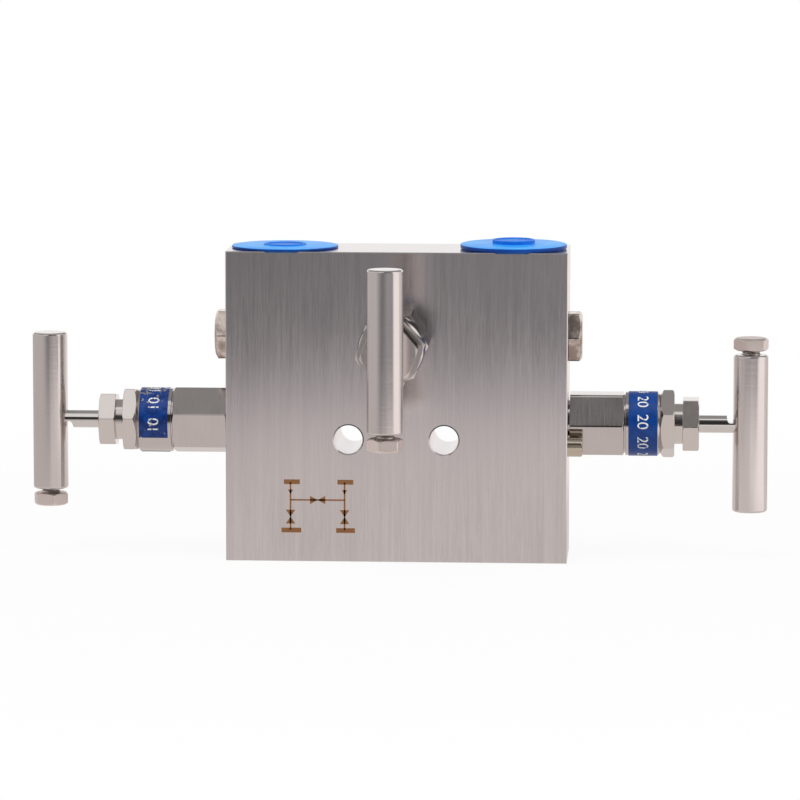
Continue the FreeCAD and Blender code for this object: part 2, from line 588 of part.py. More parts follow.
def make_stem(valve):
    """Stem: threaded lower end with the tip's socket, and a flat for the handle's bolt."""
    stem = new_body(f"{valve.name}_stem")
    radius = "Sizes.stem_diameter / 2"
    slot = "(Sizes.tip_neck_diameter / 2 + 2 * Sizes.running_clearance)"
    socket = "(Sizes.tip_button_diameter / 2 + 2 * Sizes.running_clearance)"
    lip_end = f"({STEM_LOW} + Sizes.socket_lip)"
    socket_end = f"({STEM_LOW} + Sizes.socket_depth)"
    turn(stem, f"StemBar_{valve.name}", [
        (slot, STEM_LOW), (STEM_THREAD, STEM_LOW), (STEM_THREAD, STEM_THREAD_END),
        (radius, STEM_THREAD_END), (radius, f"{STEM_END} - Sizes.stem_end_chamfer"),
        (f"{radius} - Sizes.stem_end_chamfer", STEM_END),
        ("0", STEM_END), ("0", socket_end), (socket, socket_end), (socket, lip_end), (slot, lip_end)])
    # the flat: a pocket across the stem whose start is rounded by the cutter
    cutter = "Sizes.stem_flat_cutter_radius"
    halfway = f"{cutter} * (1 - cos(45))"
    beyond = f"({radius} + Sizes.overlap)"
    sketch = outline(stem, f"FlatOutline_{valve.name}", [
        (FLAT_DISTANCE, f"{STEM_END} + Sizes.overlap"), (FLAT_DISTANCE, f"{FLAT_START} + {cutter}"),
        (f"{FLAT_DISTANCE} + {halfway}", f"{FLAT_START} + {halfway}"),
        (f"{FLAT_DISTANCE} + {cutter}", FLAT_START), (beyond, FLAT_START),
        (beyond, f"{STEM_END} + Sizes.overlap")])
    flat = stem.newObject("PartDesign::Pocket", f"Flat_{valve.name}")
    flat.Profile = sketch
    flat.Midplane = True
    flat.setExpression("Length", "Sizes.stem_diameter + 2 * Sizes.overlap")
    sketch.Visibility = False
    return stem


def make_handle_bar(valve):
    """T-bar: a round bar with a blind hole for the stem and a tapped hole in one end."""
    bar = new_body(f"{valve.name}_handle_bar")
    radius = "Sizes.bar_diameter / 2"
    chamfer = "Sizes.bar_chamfer"
    along_bar = placing("0", "0", BAR_AXIS, "vector(0; 0; 1)", -90)
    turn(bar, f"Bar_{valve.name}", [
        ("0", "-Sizes.bar_free_side"), (f"{radius} - {chamfer}", "-Sizes.bar_free_side"),
        (radius, f"{chamfer} - Sizes.bar_free_side"), (radius, f"Sizes.bar_bolt_side - {chamfer}"),
        (f"{radius} - {chamfer}", "Sizes.bar_bolt_side"), ("0", "Sizes.bar_bolt_side")], at=along_bar)
    bore(bar, f"StemHole_{valve.name}", cylinder(STEM_BORE, f"({BAR_START} - Sizes.overlap)", STEM_END))
    bolt_radius = "(Sizes.bolt_diameter / 2 + Sizes.thread_clearance)"
    bore(bar, f"BoltHole_{valve.name}", cylinder(bolt_radius, "0", "Sizes.bar_bolt_side"), at=along_bar)
    return bar


def make_handle_bolt(valve):
    """Hexagon bolt in the end of the T-bar, whose point bears on the stem's flat."""
    bolt = new_body(f"{valve.name}_handle_bolt")
    head_start = "(Sizes.bar_bolt_side + Sizes.bolt_gap)"
    head_end = f"({head_start} + Sizes.bolt_head_thickness)"
    radius = "Sizes.bolt_diameter / 2"
    point = "Sizes.bolt_point_chamfer"
    hexagon(bolt, f"BoltHead_{valve.name}", "Sizes.bolt_across_flats", head_start,
            "Sizes.bolt_head_thickness", "Sizes.bolt_head_clock")
    turn(bolt, f"BoltThread_{valve.name}", [
        ("0", FLAT_DISTANCE), (f"{radius} - {point}", FLAT_DISTANCE), (radius, f"{FLAT_DISTANCE} + {point}"),
        (radius, f"{head_start} + Sizes.overlap"), ("0", f"{head_start} + Sizes.overlap")])
    break_corners(bolt, f"BoltTopChamfer_{valve.name}", "Sizes.bolt_across_flats", head_end,
                  "Sizes.bolt_head_chamfer")
    break_corners(bolt, f"BoltUnderChamfer_{valve.name}", "Sizes.bolt_across_flats", head_start,
                  "Sizes.bolt_head_chamfer", "+")
    return bolt


def make_valve(valve):
    """All pieces of one needle valve, placed together in the valve's frame."""
    gasket_outer = "(Sizes.nose_diameter / 2 - Sizes.thread_clearance)"
    pieces = [
        make_bonnet(valve),
        ring(valve, f"{valve.name}_bonnet_gasket", "Gasket", "Sizes.gasket_bore / 2", gasket_outer,
             GASKET_FACE, NOSE_END),
        make_band(valve),
        make_lock_nut(valve),
        make_packing_bolt(valve),
        ring(valve, f"{valve.name}_gland_ring", "Gland", STEM_BORE, PACKING, RINGS_END, GLAND_END),
        make_packing_rings(valve),
        ring(valve, f"{valve.name}_packing_washer", "Washer", STEM_BORE, PACKING, PACKING_START, RINGS_START),
        make_needle_tip(valve),
        make_stem(valve),
        make_handle_bar(valve),
    ]
    for piece in pieces:
        piece.setExpression("Placement", valve.placement())
    # the bolt is modelled along Z and laid along the bar, which is X in the valve's frame
    bolt = make_handle_bolt(valve)
    laid = placing("0", "0", BAR_AXIS, "vector(0; 1; 0)", 90)
    bolt.setExpression("Placement", f"{valve.placement()} * {laid}")


def make_dust_cap(side, sign, lean):
    """Plastic dust cap: flange, raised centre with a dish, and a tapered hollow shank.

    Its front edge rests on the block, and it leans back up by the angle lean.
    """
    cap = new_body(f"{side}_dust_cap")
    flange = "Sizes.cap_flange_diameter / 2"
    edge = "Sizes.cap_flange_round"
    thick = f"Sizes.{side}_cap_flange_thickness"
    boss = "Sizes.cap_boss_diameter / 2"
    dish = "Sizes.cap_dish_diameter / 2"
    boss_top = f"({thick} + Sizes.{side}_cap_boss_height)"
    shank = "Sizes.cap_shank_diameter / 2"
    shank_end = f"({shank} - Sizes.cap_shank_taper)"
    wall = "Sizes.cap_shank_wall"
    turn(cap, f"{side}Cap", [
        ("0", "0"), (f"{shank} - {wall}", "0"), (f"{shank_end} - {wall}", "-Sizes.cap_shank_length"),
        (shank_end, "-Sizes.cap_shank_length"), (shank, "0"), (f"{flange} - {edge}", "0"),
        (flange, edge), (flange, f"{thick} - {edge}"), (f"{flange} - {edge}", thick), (boss, thick),
        (boss, boss_top), (dish, boss_top), (dish, f"{boss_top} - Sizes.cap_dish_depth"),
        ("0", f"{boss_top} - Sizes.cap_dish_depth")])
    rest = "(Sizes.block_depth / 2 - Sizes.block_chamfer)"
    leaning = placing(f"{sign}Sizes.port_pitch / 2", f"-{rest}", "Sizes.block_height", "vector(1; 0; 0)", lean)
    cap.setExpression("Placement", f"{leaning} * {placing(y=rest)}")


make_block()
for side, sign, lean in (("left", "-", "0"), ("right", "", "Sizes.right_cap_lean")):
    make_vent_plug(side, sign)
    make_dust_cap(side, sign, lean)
make_lock_pins()
for valve in VALVES:
    make_valve(valve)
doc.recompute()

# Every object has to be up to date and every sub-part a valid solid before anything is written
grouped = {member.Name for group in doc.Objects if group.TypeId == "Part::Compound" for member in group.Links}
nodes = [thing for thing in doc.Objects
         if thing.TypeId in ("PartDesign::Body", "Part::Compound") and thing.Name not in grouped]
for thing in doc.Objects:
    if {"Invalid", "Error"} & set(thing.State):
        raise RuntimeError(f"{thing.Label} failed: {thing.State}")
for node in nodes:
    if node.Shape.isNull() or not node.Shape.isValid() or not node.Shape.Solids:
        raise RuntimeError(f"{node.Label} has no valid solid")

os.makedirs("parts", exist_ok=True)
for node in nodes:
    node.Shape.exportStep(f"parts/{node.Label}.step")
    print(f"{node.Label}: {len(node.Shape.Solids)} solids, {node.Shape.Volume:.1f} mm3")
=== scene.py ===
"""Looks of the three-valve instrument manifold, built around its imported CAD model.

Pieces are drawn in millimetres and end up in metres. Each needle valve has a frame of its own:
its stations run outward from the block's face, and its first cross direction points to the end
of the T-bar that carries the bolt.
"""

import math

import bmesh
import bpy
import numpy as np
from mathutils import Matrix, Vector


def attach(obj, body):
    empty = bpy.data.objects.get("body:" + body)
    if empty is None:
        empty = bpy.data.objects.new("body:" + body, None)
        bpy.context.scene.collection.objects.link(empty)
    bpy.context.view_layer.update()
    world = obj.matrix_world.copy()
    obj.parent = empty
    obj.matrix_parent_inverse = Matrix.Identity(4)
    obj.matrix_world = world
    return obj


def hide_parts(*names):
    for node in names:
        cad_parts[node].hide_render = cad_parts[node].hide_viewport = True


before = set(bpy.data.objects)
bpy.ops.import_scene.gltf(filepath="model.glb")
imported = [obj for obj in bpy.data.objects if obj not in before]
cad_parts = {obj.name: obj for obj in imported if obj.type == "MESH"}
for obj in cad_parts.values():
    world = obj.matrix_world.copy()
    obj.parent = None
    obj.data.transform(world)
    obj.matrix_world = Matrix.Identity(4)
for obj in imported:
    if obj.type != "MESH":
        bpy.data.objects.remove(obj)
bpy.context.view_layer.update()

MM = 0.001

# Sizes in millimetres, the same as the part's
BLOCK_WIDTH = 107.0
BLOCK_DEPTH = 32.0
BLOCK_HEIGHT = 97.5
ISOLATING_HEIGHT = 42.5
UPPER_HEIGHT = 70.0
PORT_X = 36.0
BONNET_FLATS = 19.05
HEX_START = 0.6
HEX_END = 17.5
COLLAR_RADIUS = 10.05
COLLAR_START = 18.0
COLLAR_END = 29.0
BAND_START = 19.0
BAND_END = 28.1
BAND_THICKNESS = 0.15
BAND_GAP = 52.0
NUT_FLATS = 19.05
NUT_END = 33.4
HEAD_FLATS = 15.9
HEAD_START = 36.0
HEAD_END = 41.1
PACKING_THREAD = 6.4
STEM_RADIUS = 2.75
STEM_FLAT = 0.55
BAR_NEAR = 51.75
BAR_RADIUS = 5.5
BAR_AXIS = BAR_NEAR + BAR_RADIUS
BAR_FREE_END = -27.6
BAR_BOLT_END = 22.12
STEM_END = 59.5
BOLT_RADIUS = 3.0
BOLT_FLATS = 10.0
BOLT_HEAD_START = 23.42
BOLT_HEAD_END = 27.42
PLUG_FLATS = 15.0
PLUG_HEAD = 4.3
PORT_TAP_RADIUS = 9.15
PIN_RADIUS = 3.0
PIN_PROJECTION = 4.7
PIN_CLEARANCE = 0.1
PIN_OFFSET = BONNET_FLATS / 2 + PIN_CLEARANCE + PIN_RADIUS

# Widths of the broken edges in millimetres
EDGE = 0.12
FINE_EDGE = 0.07
BAND_EDGE = 0.06
BAR_EDGE = 0.15

# Radii of the hexagons' rounded corners in millimetres
NUT_CORNER = 0.3
BOLT_CORNER = 0.5
PLUG_CORNER = 0.8

# An edge sharper than this many degrees is broken and shaded as an edge
CREASE = 30.0

DEGREES = 180 / math.pi


class Socket:
    """A shader socket in plain arithmetic: each operator adds the Math node it stands for."""

    def __init__(self, tree, socket):
        self.tree = tree
        self.socket = socket

    def maths(self, operation, *others):
        node = self.tree.nodes.new("ShaderNodeMath")
        node.operation = operation
        for slot, value in zip(node.inputs, (self,) + others):
            feed(self.tree, slot, value)
        return Socket(self.tree, node.outputs[0])

    def __add__(self, other):
        return self.maths("ADD", other)

    def __sub__(self, other):
        return self.maths("SUBTRACT", other)

    def __rsub__(self, other):
        return self.maths("MULTIPLY_ADD", -1.0, other)

    def __mul__(self, other):
        return self.maths("MULTIPLY", other)

    def __pow__(self, other):
        return self.maths("POWER", other)

    __radd__ = __add__
    __rmul__ = __mul__

    def rises(self, low, high):
        """0 below low, 1 above high, smooth between. With low above high it falls instead."""
        start, end = (0.0, 1.0) if low < high else (1.0, 0.0)
        ramp = add_node(self.tree, "ShaderNodeMapRange", {"interpolation_type": "SMOOTHSTEP"}, {
            "Value": self, "From Min": min(low, high), "From Max": max(low, high),
            "To Min": start, "To Max": end})
        return ramp("Result")

    def between(self, low, high, soft):
        """1 from low to high, with edges as wide as soft."""
        return self.rises(low - soft, low + soft) * self.rises(high + soft, high - soft)


def feed(tree, slot, value):
    """Link a socket to a node's slot, or set the slot to a value."""
    if isinstance(value, Socket):
        tree.links.new(value.socket, slot)
    else:
        slot.default_value = value


def add_node(tree, kind, settings=None, inputs=None):
    """Add a node, settings first, and return a function that gives its outputs by name."""
    node = tree.nodes.new(kind)

    def find(slots, name):
        return next(slot for slot in slots if name in (slot.identifier, slot.name) and slot.enabled)

    def output(name):
        return Socket(tree, find(node.outputs, name))

    for name, value in (settings or {}).items():
        setattr(node, name, value)
    for name, value in (inputs or {}).items():
        feed(tree, find(node.inputs, name), value)
    return output


class Nodes:
    """A node tree under construction, for a material or the world."""

    def __init__(self, tree):
        self.tree = tree
        tree.nodes.clear()

    def node(self, kind, settings=None, inputs=None):
        return add_node(self.tree, kind, settings, inputs)

    def mix(self, factor, first, second):
        """Blend two colours, each a link or three numbers."""
        def colour(value):
            return value if isinstance(value, Socket) else (*value, 1.0)
        mixed = self.node("ShaderNodeMix", {"data_type": "RGBA"}, {
            "Factor_Float": factor, "A_Color": colour(first), "B_Color": colour(second)})
        return mixed("Result_Color")

    def mix_shaders(self, factor, first, second):
        mixed = self.node("ShaderNodeMixShader", None, {
            "Fac": factor, "Shader": first, "Shader_001": second})
        return mixed("Shader")

    def emission(self, colour, strength):
        lit = self.node("ShaderNodeEmission", None, {"Color": (*colour, 1.0), "Strength": strength})
        return lit("Emission")


class Finish(Nodes):
    """One material: a Principled shader and the nodes that vary it over the surface.

    The constants are set on the shader's own sockets, whose names have _ in place of a space.
    """

    def __init__(self, name, **constants):
        self.material = bpy.data.materials.new(name)
        self.material.use_nodes = True
        super().__init__(self.material.node_tree)
        self.shader = self.tree.nodes.new("ShaderNodeBsdfPrincipled")
        self.end = self.tree.nodes.new("ShaderNodeOutputMaterial")
        self.tree.links.new(self.shader.outputs[0], self.end.inputs["Surface"])
        self.place = self.node("ShaderNodeTexCoord")("Object")
        for name, value in constants.items():
            self.shader.inputs[name.replace("_", " ")].default_value = value

    def vary(self, name, value):
        feed(self.tree, self.shader.inputs[name], value)

    def scaled(self, x, y, z):
        """The surface's place in the object, scaled so that one unit is one mark."""
        product = self.node("ShaderNodeVectorMath", {"operation": "MULTIPLY"},
                            {"Vector": self.place, "Vector_001": (x, y, z)})
        return product("Vector")

    def noise(self, vector, detail=2.0, roughness=0.5, distortion=0.0):
        made = self.node("ShaderNodeTexNoise", None, {
            "Vector": vector, "Scale": 1.0, "Detail": detail, "Roughness": roughness,
            "Distortion": distortion})
        return made("Fac")

    def coordinates(self):
        parts = self.node("ShaderNodeSeparateXYZ", None, {"Vector": self.place})
        return parts("X"), parts("Y"), parts("Z")

    def bump(self, height, depth, strength=1.0):
        """Raise the surface by height, a full step being as deep as depth in millimetres."""
        raised = self.node("ShaderNodeBump", None, {
            "Strength": strength, "Distance": depth * MM, "Height": height})
        self.vary("Normal", raised("Normal"))


# Tool marks: how many a metre along X, Y and Z
AROUND_X = (3600.0, 160.0, 160.0)
AROUND_Y = (160.0, 3600.0, 160.0)
AROUND_Z = (160.0, 160.0, 3600.0)
MILLED = (900.0, 900.0, 900.0)


def steel(name, tint, roughness, marks, depth=0.01, uneven=0.12, clouds=90.0, grain=0.14):
    """Stainless steel whose tool marks run one way, with faint clouds in tint and gloss.

    The marks are depth millimetres deep and darker than the tint by the share grain. The roughness
    strays by uneven, and there are as many clouds a metre as clouds says.
    """
    finish = Finish(name, Metallic=1.0)
    fine = finish.noise(finish.scaled(*marks), detail=3.0, roughness=0.65)
    coarse = finish.noise(finish.scaled(*(rate * 0.28 for rate in marks)), detail=2.0)
    cloud = finish.noise(finish.scaled(clouds, clouds, clouds), detail=3.0)
    darker = tuple(channel * (1 - grain) for channel in tint)
    finish.vary("Base Color", finish.mix(fine * 0.5 + cloud * 0.5, darker, tint))
    finish.vary("Roughness", (fine - 0.5) * uneven + (cloud - 0.5) * uneven * 0.6 + roughness)
    finish.bump(fine * 0.6 + coarse, depth)
    return finish


def stain_and_reflection_steel(name, tint, stain_and_reflection):
    """Cold-formed steel with a rough skin and brown patches, partly real stains and partly painted dark
    reflections.
    """
    finish = Finish(name, Metallic=1.0)
    rough_skin = finish.noise(finish.scaled(900.0, 900.0, 900.0), detail=3.0)
    spots = finish.noise(finish.scaled(240.0, 240.0, 240.0), detail=2.0, roughness=0.5)
    # brown patches: partly real stains, partly painted dark reflections on the facets
    stain_and_reflection_mask = (spots * 0.9 + rough_skin * 0.1).rises(0.38, 0.64)
    finish.vary("Base Color", finish.mix(stain_and_reflection_mask, tint, stain_and_reflection))
    finish.vary("Roughness", spots * 0.2 + 0.08)
    finish.bump(rough_skin, 0.015)
    return finish


def block_steel():
    """The block: drawn bar brushed along its height, so its fine lines run up and down."""
    dark, light = (0.575, 0.543, 0.552), (0.70, 0.665, 0.665)
    finish = Finish("brushed_block", Metallic=1.0)
    fine = finish.noise(finish.scaled(3400.0, 3400.0, 160.0), detail=3.0, roughness=0.7)
    lines = finish.noise(finish.scaled(900.0, 900.0, 22.0), detail=3.0, roughness=0.65, distortion=0.5)
    broad = finish.noise(finish.scaled(330.0, 330.0, 8.0), detail=2.0)
    cloud = finish.noise(finish.scaled(45.0, 45.0, 30.0), detail=3.0)
    grain = fine * 0.34 + lines * 0.34 + broad * 0.10 + cloud * 0.22
    finish.vary("Base Color", finish.mix(grain.rises(0.36, 0.64), dark, light))
    finish.vary("Roughness", (fine - 0.5) * 0.12 + (lines - 0.5) * 0.08 + (cloud - 0.5) * 0.06 + 0.17)
    finish.bump(fine * 0.6 + lines * 0.4 + broad * 0.2, 0.007)
    return finish


def blue_paint(name, dark, light, worn, top):
    """Blue printed band: thin film with fine scratches, rubbed through to the steel in places.

    It is rubbed through where the wear passes worn. Above the height top, in metres, more is gone.
    """
    bare_steel = (0.62, 0.63, 0.64)
    finish = Finish(name, Specular_IOR_Level=0.35)
    wear = finish.noise(finish.scaled(700.0, 700.0, 700.0), detail=4.0, roughness=0.7)
    shade = finish.noise(finish.scaled(420.0, 420.0, 420.0), detail=3.0, roughness=0.6)
    height = finish.coordinates()[2]
    bare = (wear + height.rises(top, top + 0.004) * 0.13).rises(worn, worn + 0.03)
    blue = finish.mix(shade.rises(0.3, 0.7), dark, light)
    finish.vary("Base Color", finish.mix(bare, blue, bare_steel))
    finish.vary("Roughness", 0.34 - bare * 0.1)
    finish.vary("Metallic", bare)
    finish.bump(wear, 0.02, strength=0.4)
    return finish


def plastic(name, light, dark, roughness):
    """Soft moulded plastic with a faint flow pattern."""
    finish = Finish(name, Specular_IOR_Level=0.25)
    flow = finish.noise(finish.scaled(120.0, 120.0, 120.0), detail=3.0)
    grain = finish.noise(finish.scaled(2500.0, 2500.0, 2500.0), detail=2.0)
    finish.vary("Base Color", finish.mix(flow.rises(0.3, 0.7), dark, light))
    finish.vary("Roughness", (grain - 0.5) * 0.15 + roughness)
    finish.bump(grain, 0.02, strength=0.5)
    return finish


def matte(name, light, dark):
    """Dull finish of the soft seals and of the etching."""
    finish = Finish(name)
    grain = finish.noise(finish.scaled(1500.0, 1500.0, 1500.0), detail=3.0)
    finish.vary("Base Color", finish.mix(grain, dark, light))
    finish.vary("Roughness", grain * 0.2 + 0.6)
    finish.bump(grain, 0.03)
    return finish


def worn_mark():
    """White print of the valve numbers, thin in places so that the blue film shows."""
    white, blue_film = (0.88, 0.88, 0.86), (0.10, 0.17, 0.42)
    finish = Finish("white_mark", Roughness=0.5)
    worn = finish.noise(finish.scaled(1300.0, 1300.0, 1300.0), detail=3.0, roughness=0.7)
    finish.vary("Base Color", finish.mix(worn.rises(0.54, 0.62), white, blue_film))
    finish.bump(worn, 0.02)
    return finish


BONNET_TINT = (0.66, 0.615, 0.60)
NUT_TINT = (0.72, 0.67, 0.645)
BAR_TINT = (0.74, 0.69, 0.68)
STEM_TINT = (0.74, 0.71, 0.69)

FINISHES = {
    "block": block_steel(),
    "turned_x": steel("turned_along_x", BONNET_TINT, 0.13, AROUND_X, depth=0.006, uneven=0.10, grain=0.24),
    "turned_y": steel("turned_along_y", BONNET_TINT, 0.13, AROUND_Y, depth=0.006, uneven=0.10, grain=0.24),
    "nut": steel("milled_nut", NUT_TINT, 0.16, MILLED, depth=0.004, uneven=0.08),
    "plug": stain_and_reflection_steel("stained_plug_painted_reflection", tint=(0.70, 0.62, 0.57), stain_and_reflection=(0.36, 0.29, 0.25)),
    "pin": steel("ground_pin", (0.60, 0.52, 0.42), 0.18, MILLED, depth=0.006),
    "stem_x": steel("polished_stem_x", STEM_TINT, 0.06, AROUND_X, depth=0.002, uneven=0.04),
    "stem_y": steel("polished_stem_y", STEM_TINT, 0.06, AROUND_Y, depth=0.002, uneven=0.04),
    "bar": steel("turned_bar", BAR_TINT, 0.17, AROUND_Z, depth=0.006, uneven=0.08),
    "bolt": steel("cold_headed_bolt", (0.90, 0.80, 0.76), 0.40, MILLED, depth=0.03, uneven=0.25,
                  clouds=300.0),
    "thread": steel("cut_thread", (0.50, 0.47, 0.45), 0.24, MILLED, depth=0.006),
    "port_thread": steel("cut_port_thread", (0.62, 0.59, 0.58), 0.2, AROUND_Z, depth=0.006),
    "gland": steel("turned_gland", (0.60, 0.59, 0.58), 0.25, MILLED),
    "band_left": blue_paint("worn_blue_paint", (0.0, 0.018, 0.13), (0.004, 0.05, 0.27), 0.63, 0.0485),
    "band_right": blue_paint("clean_blue_paint", (0.0, 0.035, 0.20), (0.001, 0.055, 0.29), 0.70, 0.0515),
    # painted shade: the front band is darker blue than the others for the shadow of the block and lock nut
    "band_front": blue_paint("blue_paint_painted_shade", (0.0, 0.012, 0.08), (0.002, 0.03, 0.16), 0.66, 0.1),
    "cap": plastic("blue_cap", (0.045, 0.42, 0.98), (0.03, 0.34, 0.92), 0.36),
    # painted shade: the rim's darker blue stands in for the shade on its side that faces forward
    "cap_rim_painted_shade": plastic("blue_cap_rim_painted_shade", (0.004, 0.075, 0.42), (0.002, 0.05, 0.32), 0.4),
    # painted shade: the centre's darker blue stands in for the sheen it catches less of than the flange;
    # its higher roughness is real
    "cap_centre_painted_shade": plastic("blue_cap_centre_painted_shade", (0.010, 0.20, 0.78), (0.006, 0.16, 0.68), 0.45),
    "packing": matte("packing_rings", (0.92, 0.92, 0.90), (0.84, 0.84, 0.82)),
    "gasket": matte("gasket_sheet", (0.20, 0.20, 0.21), (0.10, 0.10, 0.11)),
    "etching": matte("brown_etching", (0.36, 0.16, 0.055), (0.22, 0.085, 0.03)),
    "mark": worn_mark(),
}


class Valve:
    """One needle valve: where it sits, the directions of its own frame, and how it is clocked.

    The clocks turn the hexagons of bonnet, lock nut and packing bolt, pin_direction is where its
    lock pin stands, and the band starts at band_clock, all in degrees from the bolt's side. The
    corners of its bonnet's hexagon are rounded by corner, in millimetres.
    """

    def __init__(self, name, side, origin, outward, toward_bolt, clocks, pin_direction, band_clock, corner):
        self.name = name
        self.side = side
        self.origin = np.array(origin)
        self.outward = np.array(outward, float)
        self.toward_bolt = np.array(toward_bolt, float)
        self.across = np.cross(self.outward, self.toward_bolt)
        self.bonnet_clock, self.nut_clock, self.head_clock = clocks
        self.pin_direction = pin_direction
        self.band_clock = band_clock
        self.bonnet_corner = corner
        self.handle = f"{name}_handle"
        self.turned = "turned_y" if side == "front" else "turned_x"
        self.stem = "stem_y" if side == "front" else "stem_x"

    def place(self, points):
        """Points (toward the bolt, across, outward) in the object's frame, in millimetres."""
        axes = np.array([self.toward_bolt, self.across, self.outward])
        return self.origin + np.asarray(points, float) @ axes

    def place_bar(self, points):
        """Points whose third value runs along the T-bar, towards its bolt."""
        x, y, z = np.asarray(points, float).T
        return self.place(np.stack([z, y, BAR_AXIS - x], axis=1))


VALVES = [
    Valve("left_isolating", "left", (-BLOCK_WIDTH / 2, 0, ISOLATING_HEIGHT), (-1, 0, 0), (0, 0, -1),
          clocks=(45, 37, 37), pin_direction=255, band_clock=62, corner=0.3),
    Valve("right_isolating", "right", (BLOCK_WIDTH / 2, 0, ISOLATING_HEIGHT), (1, 0, 0), (0, 0, 1),
          clocks=(30, 8, 31), pin_direction=120, band_clock=296, corner=1.2),
    Valve("equalizing", "front", (0, -BLOCK_DEPTH / 2, UPPER_HEIGHT), (0, -1, 0), (0, 0, -1),
          clocks=(30, 42.6, 40), pin_direction=0, band_clock=161, corner=0.6),
]


def columns(step=5.0):
    """Directions of a round piece's columns, step degrees apart."""
    return np.radians(np.arange(0.0, 360.0, step))


def corner_turn(across_flats, fillet):
    """Where a rounded corner meets the hexagon's sides, in degrees from the corner."""
    centre = (across_flats / 2 - fillet) / math.cos(math.radians(30))
    return math.degrees(math.atan(fillet * 0.5 / (centre + fillet * math.cos(math.radians(30)))))


def hex_columns(clock, across_flats, fillet):
    """Directions of the columns of a hexagonal piece, closer together around its corners."""
    turn = corner_turn(across_flats, fillet)
    corner = np.linspace(-turn, turn, 4)
    side = np.linspace(turn, 60 - turn, 11)[1:-1]
    sixth = np.concatenate([corner, side])
    return np.radians(np.concatenate([sixth + clock + 60 * k for k in range(6)]))


def hexagon(across_flats, angles, clock, fillet):
    """Distance of a hexagon's side from its axis in each direction, a corner being at clock."""
    from_corner = np.mod(np.degrees(angles) - clock + 30.0, 60.0) - 30.0
    side = across_flats / 2 / np.cos(np.radians(30.0 - np.abs(from_corner)))
    centre = (across_flats / 2 - fillet) / math.cos(math.radians(30))
    turn = np.radians(from_corner)
    arc = centre * np.cos(turn) + np.sqrt(np.maximum(fillet ** 2 - (centre * np.sin(turn)) ** 2, 0.0))
    return np.where(np.abs(from_corner) <= corner_turn(across_flats, fillet) + 0.001, arc, side)


def ring_row(angles, radius, station):
    """One row of points around the axis; radius and station are numbers or one per column."""
    radius = np.broadcast_to(np.asarray(radius, float), angles.shape)
    station = np.broadcast_to(np.asarray(station, float), angles.shape)
    return np.stack([radius * np.cos(angles), radius * np.sin(angles), station], axis=1)


def ring_rows(angles, *profile):
    """Rows of a turned stretch, from the (radius, station) points of its profile."""
    return [ring_row(angles, radius, station) for radius, station in profile]


def skin(rows, hollow=False):
    """Quads between successive rows, and back to the first row where the piece is hollow."""
    count = len(rows[0])
    points = np.concatenate(rows)
    pairs = list(zip(range(len(rows) - 1), range(1, len(rows))))
    if hollow:
        pairs.append((len(rows) - 1, 0))
    faces = []
    for low, high in pairs:
        for i in range(count):
            j = (i + 1) % count
            faces.append((low * count + i, low * count + j, high * count + j, high * count + i))
    return points, faces


def mesh_object(name, parts):
    """A mesh object from lists of (points in millimetres, faces), merged and turned outward."""
    form = bmesh.new()
    for points, faces in parts:
        made = [form.verts.new(Vector(point) * MM) for point in points]
        for face in faces:
            corners = []
            for number in face:
                if made[number] not in corners:
                    corners.append(made[number])
            if len(corners) > 2:
                form.faces.new(corners)
    bmesh.ops.remove_doubles(form, verts=form.verts, dist=2e-6)
    bmesh.ops.dissolve_degenerate(form, edges=form.edges, dist=1e-6)
    bmesh.ops.recalc_face_normals(form, faces=form.faces)
    for face in form.faces:
        face.smooth = True
    for edge in form.edges:
        edge.smooth = len(edge.link_faces) == 2 and edge.calc_face_angle(0.0) < math.radians(CREASE)
    mesh = bpy.data.meshes.new(name)
    form.to_mesh(mesh)
    form.free()
    piece = bpy.data.objects.new(name, mesh)
    bpy.context.scene.collection.objects.link(piece)
    return piece


def break_edges(piece, width, segments=2):
    """Round the piece's edges by width in millimetres, and keep its flats looking flat."""
    bevel = piece.modifiers.new("broken_edges", "BEVEL")
    bevel.width = width * MM
    bevel.segments = segments
    bevel.limit_method = "ANGLE"
    bevel.angle_limit = math.radians(CREASE)
    bevel.use_clamp_overlap = True
    even = piece.modifiers.new("flat_faces", "WEIGHTED_NORMAL")
    even.keep_sharp = True
    settle(piece)


def settle(piece):
    """Make the piece's modifiers part of its mesh."""
    bpy.context.view_layer.update()
    graph = bpy.context.evaluated_depsgraph_get()
    made = bpy.data.meshes.new_from_object(piece.evaluated_get(graph), preserve_all_data_layers=True,
                                           depsgraph=graph)
    piece.modifiers.clear()
    old = piece.data
    piece.data = made
    bpy.data.meshes.remove(old)


def dress(piece, finish, body, slot, *nodes):
    """Give the piece its finish, its body and the CAD nodes it stands for. Its slot is not used."""
    piece.data.materials.clear()
    piece.data.materials.append(FINISHES[finish].material)
    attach(piece, body)
    if nodes:
        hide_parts(*nodes)


def turned(name, rows, place, hollow=False, edge=EDGE, segments=2):
    """A turned or milled piece from its rows, with its edges broken."""
    points, faces = skin(rows, hollow)
    piece = mesh_object(name, [(place(points), faces)])
    if edge:
        break_edges(piece, edge, segments)
    return piece


def hex_rows(angles, across_flats, clock, start, end, start_chamfer=0.0, end_chamfer=0.0,
             fillet=NUT_CORNER):
    """Rows of a hexagonal bar whose corners are turned off at either end by 30 degree chamfers."""
    side = hexagon(across_flats, angles, clock, fillet)
    corner = across_flats / math.sqrt(3)
    slope = math.tan(math.radians(30))
    least_cut = 0.06

    def end_rows(station, chamfer, inward):
        face = corner - chamfer / slope
        cut = np.maximum(side - face, 0.0) * slope
        # shorter cuts would leave edges too small to be broken
        cut[cut < least_cut] = 0.0
        rows = [ring_row(angles, np.where(cut > 0, face, side), station)]
        if chamfer:
            rows.append(ring_row(angles, side, station + inward * cut))
        return rows

    return end_rows(start, start_chamfer, 1) + end_rows(end, end_chamfer, -1)[::-1]


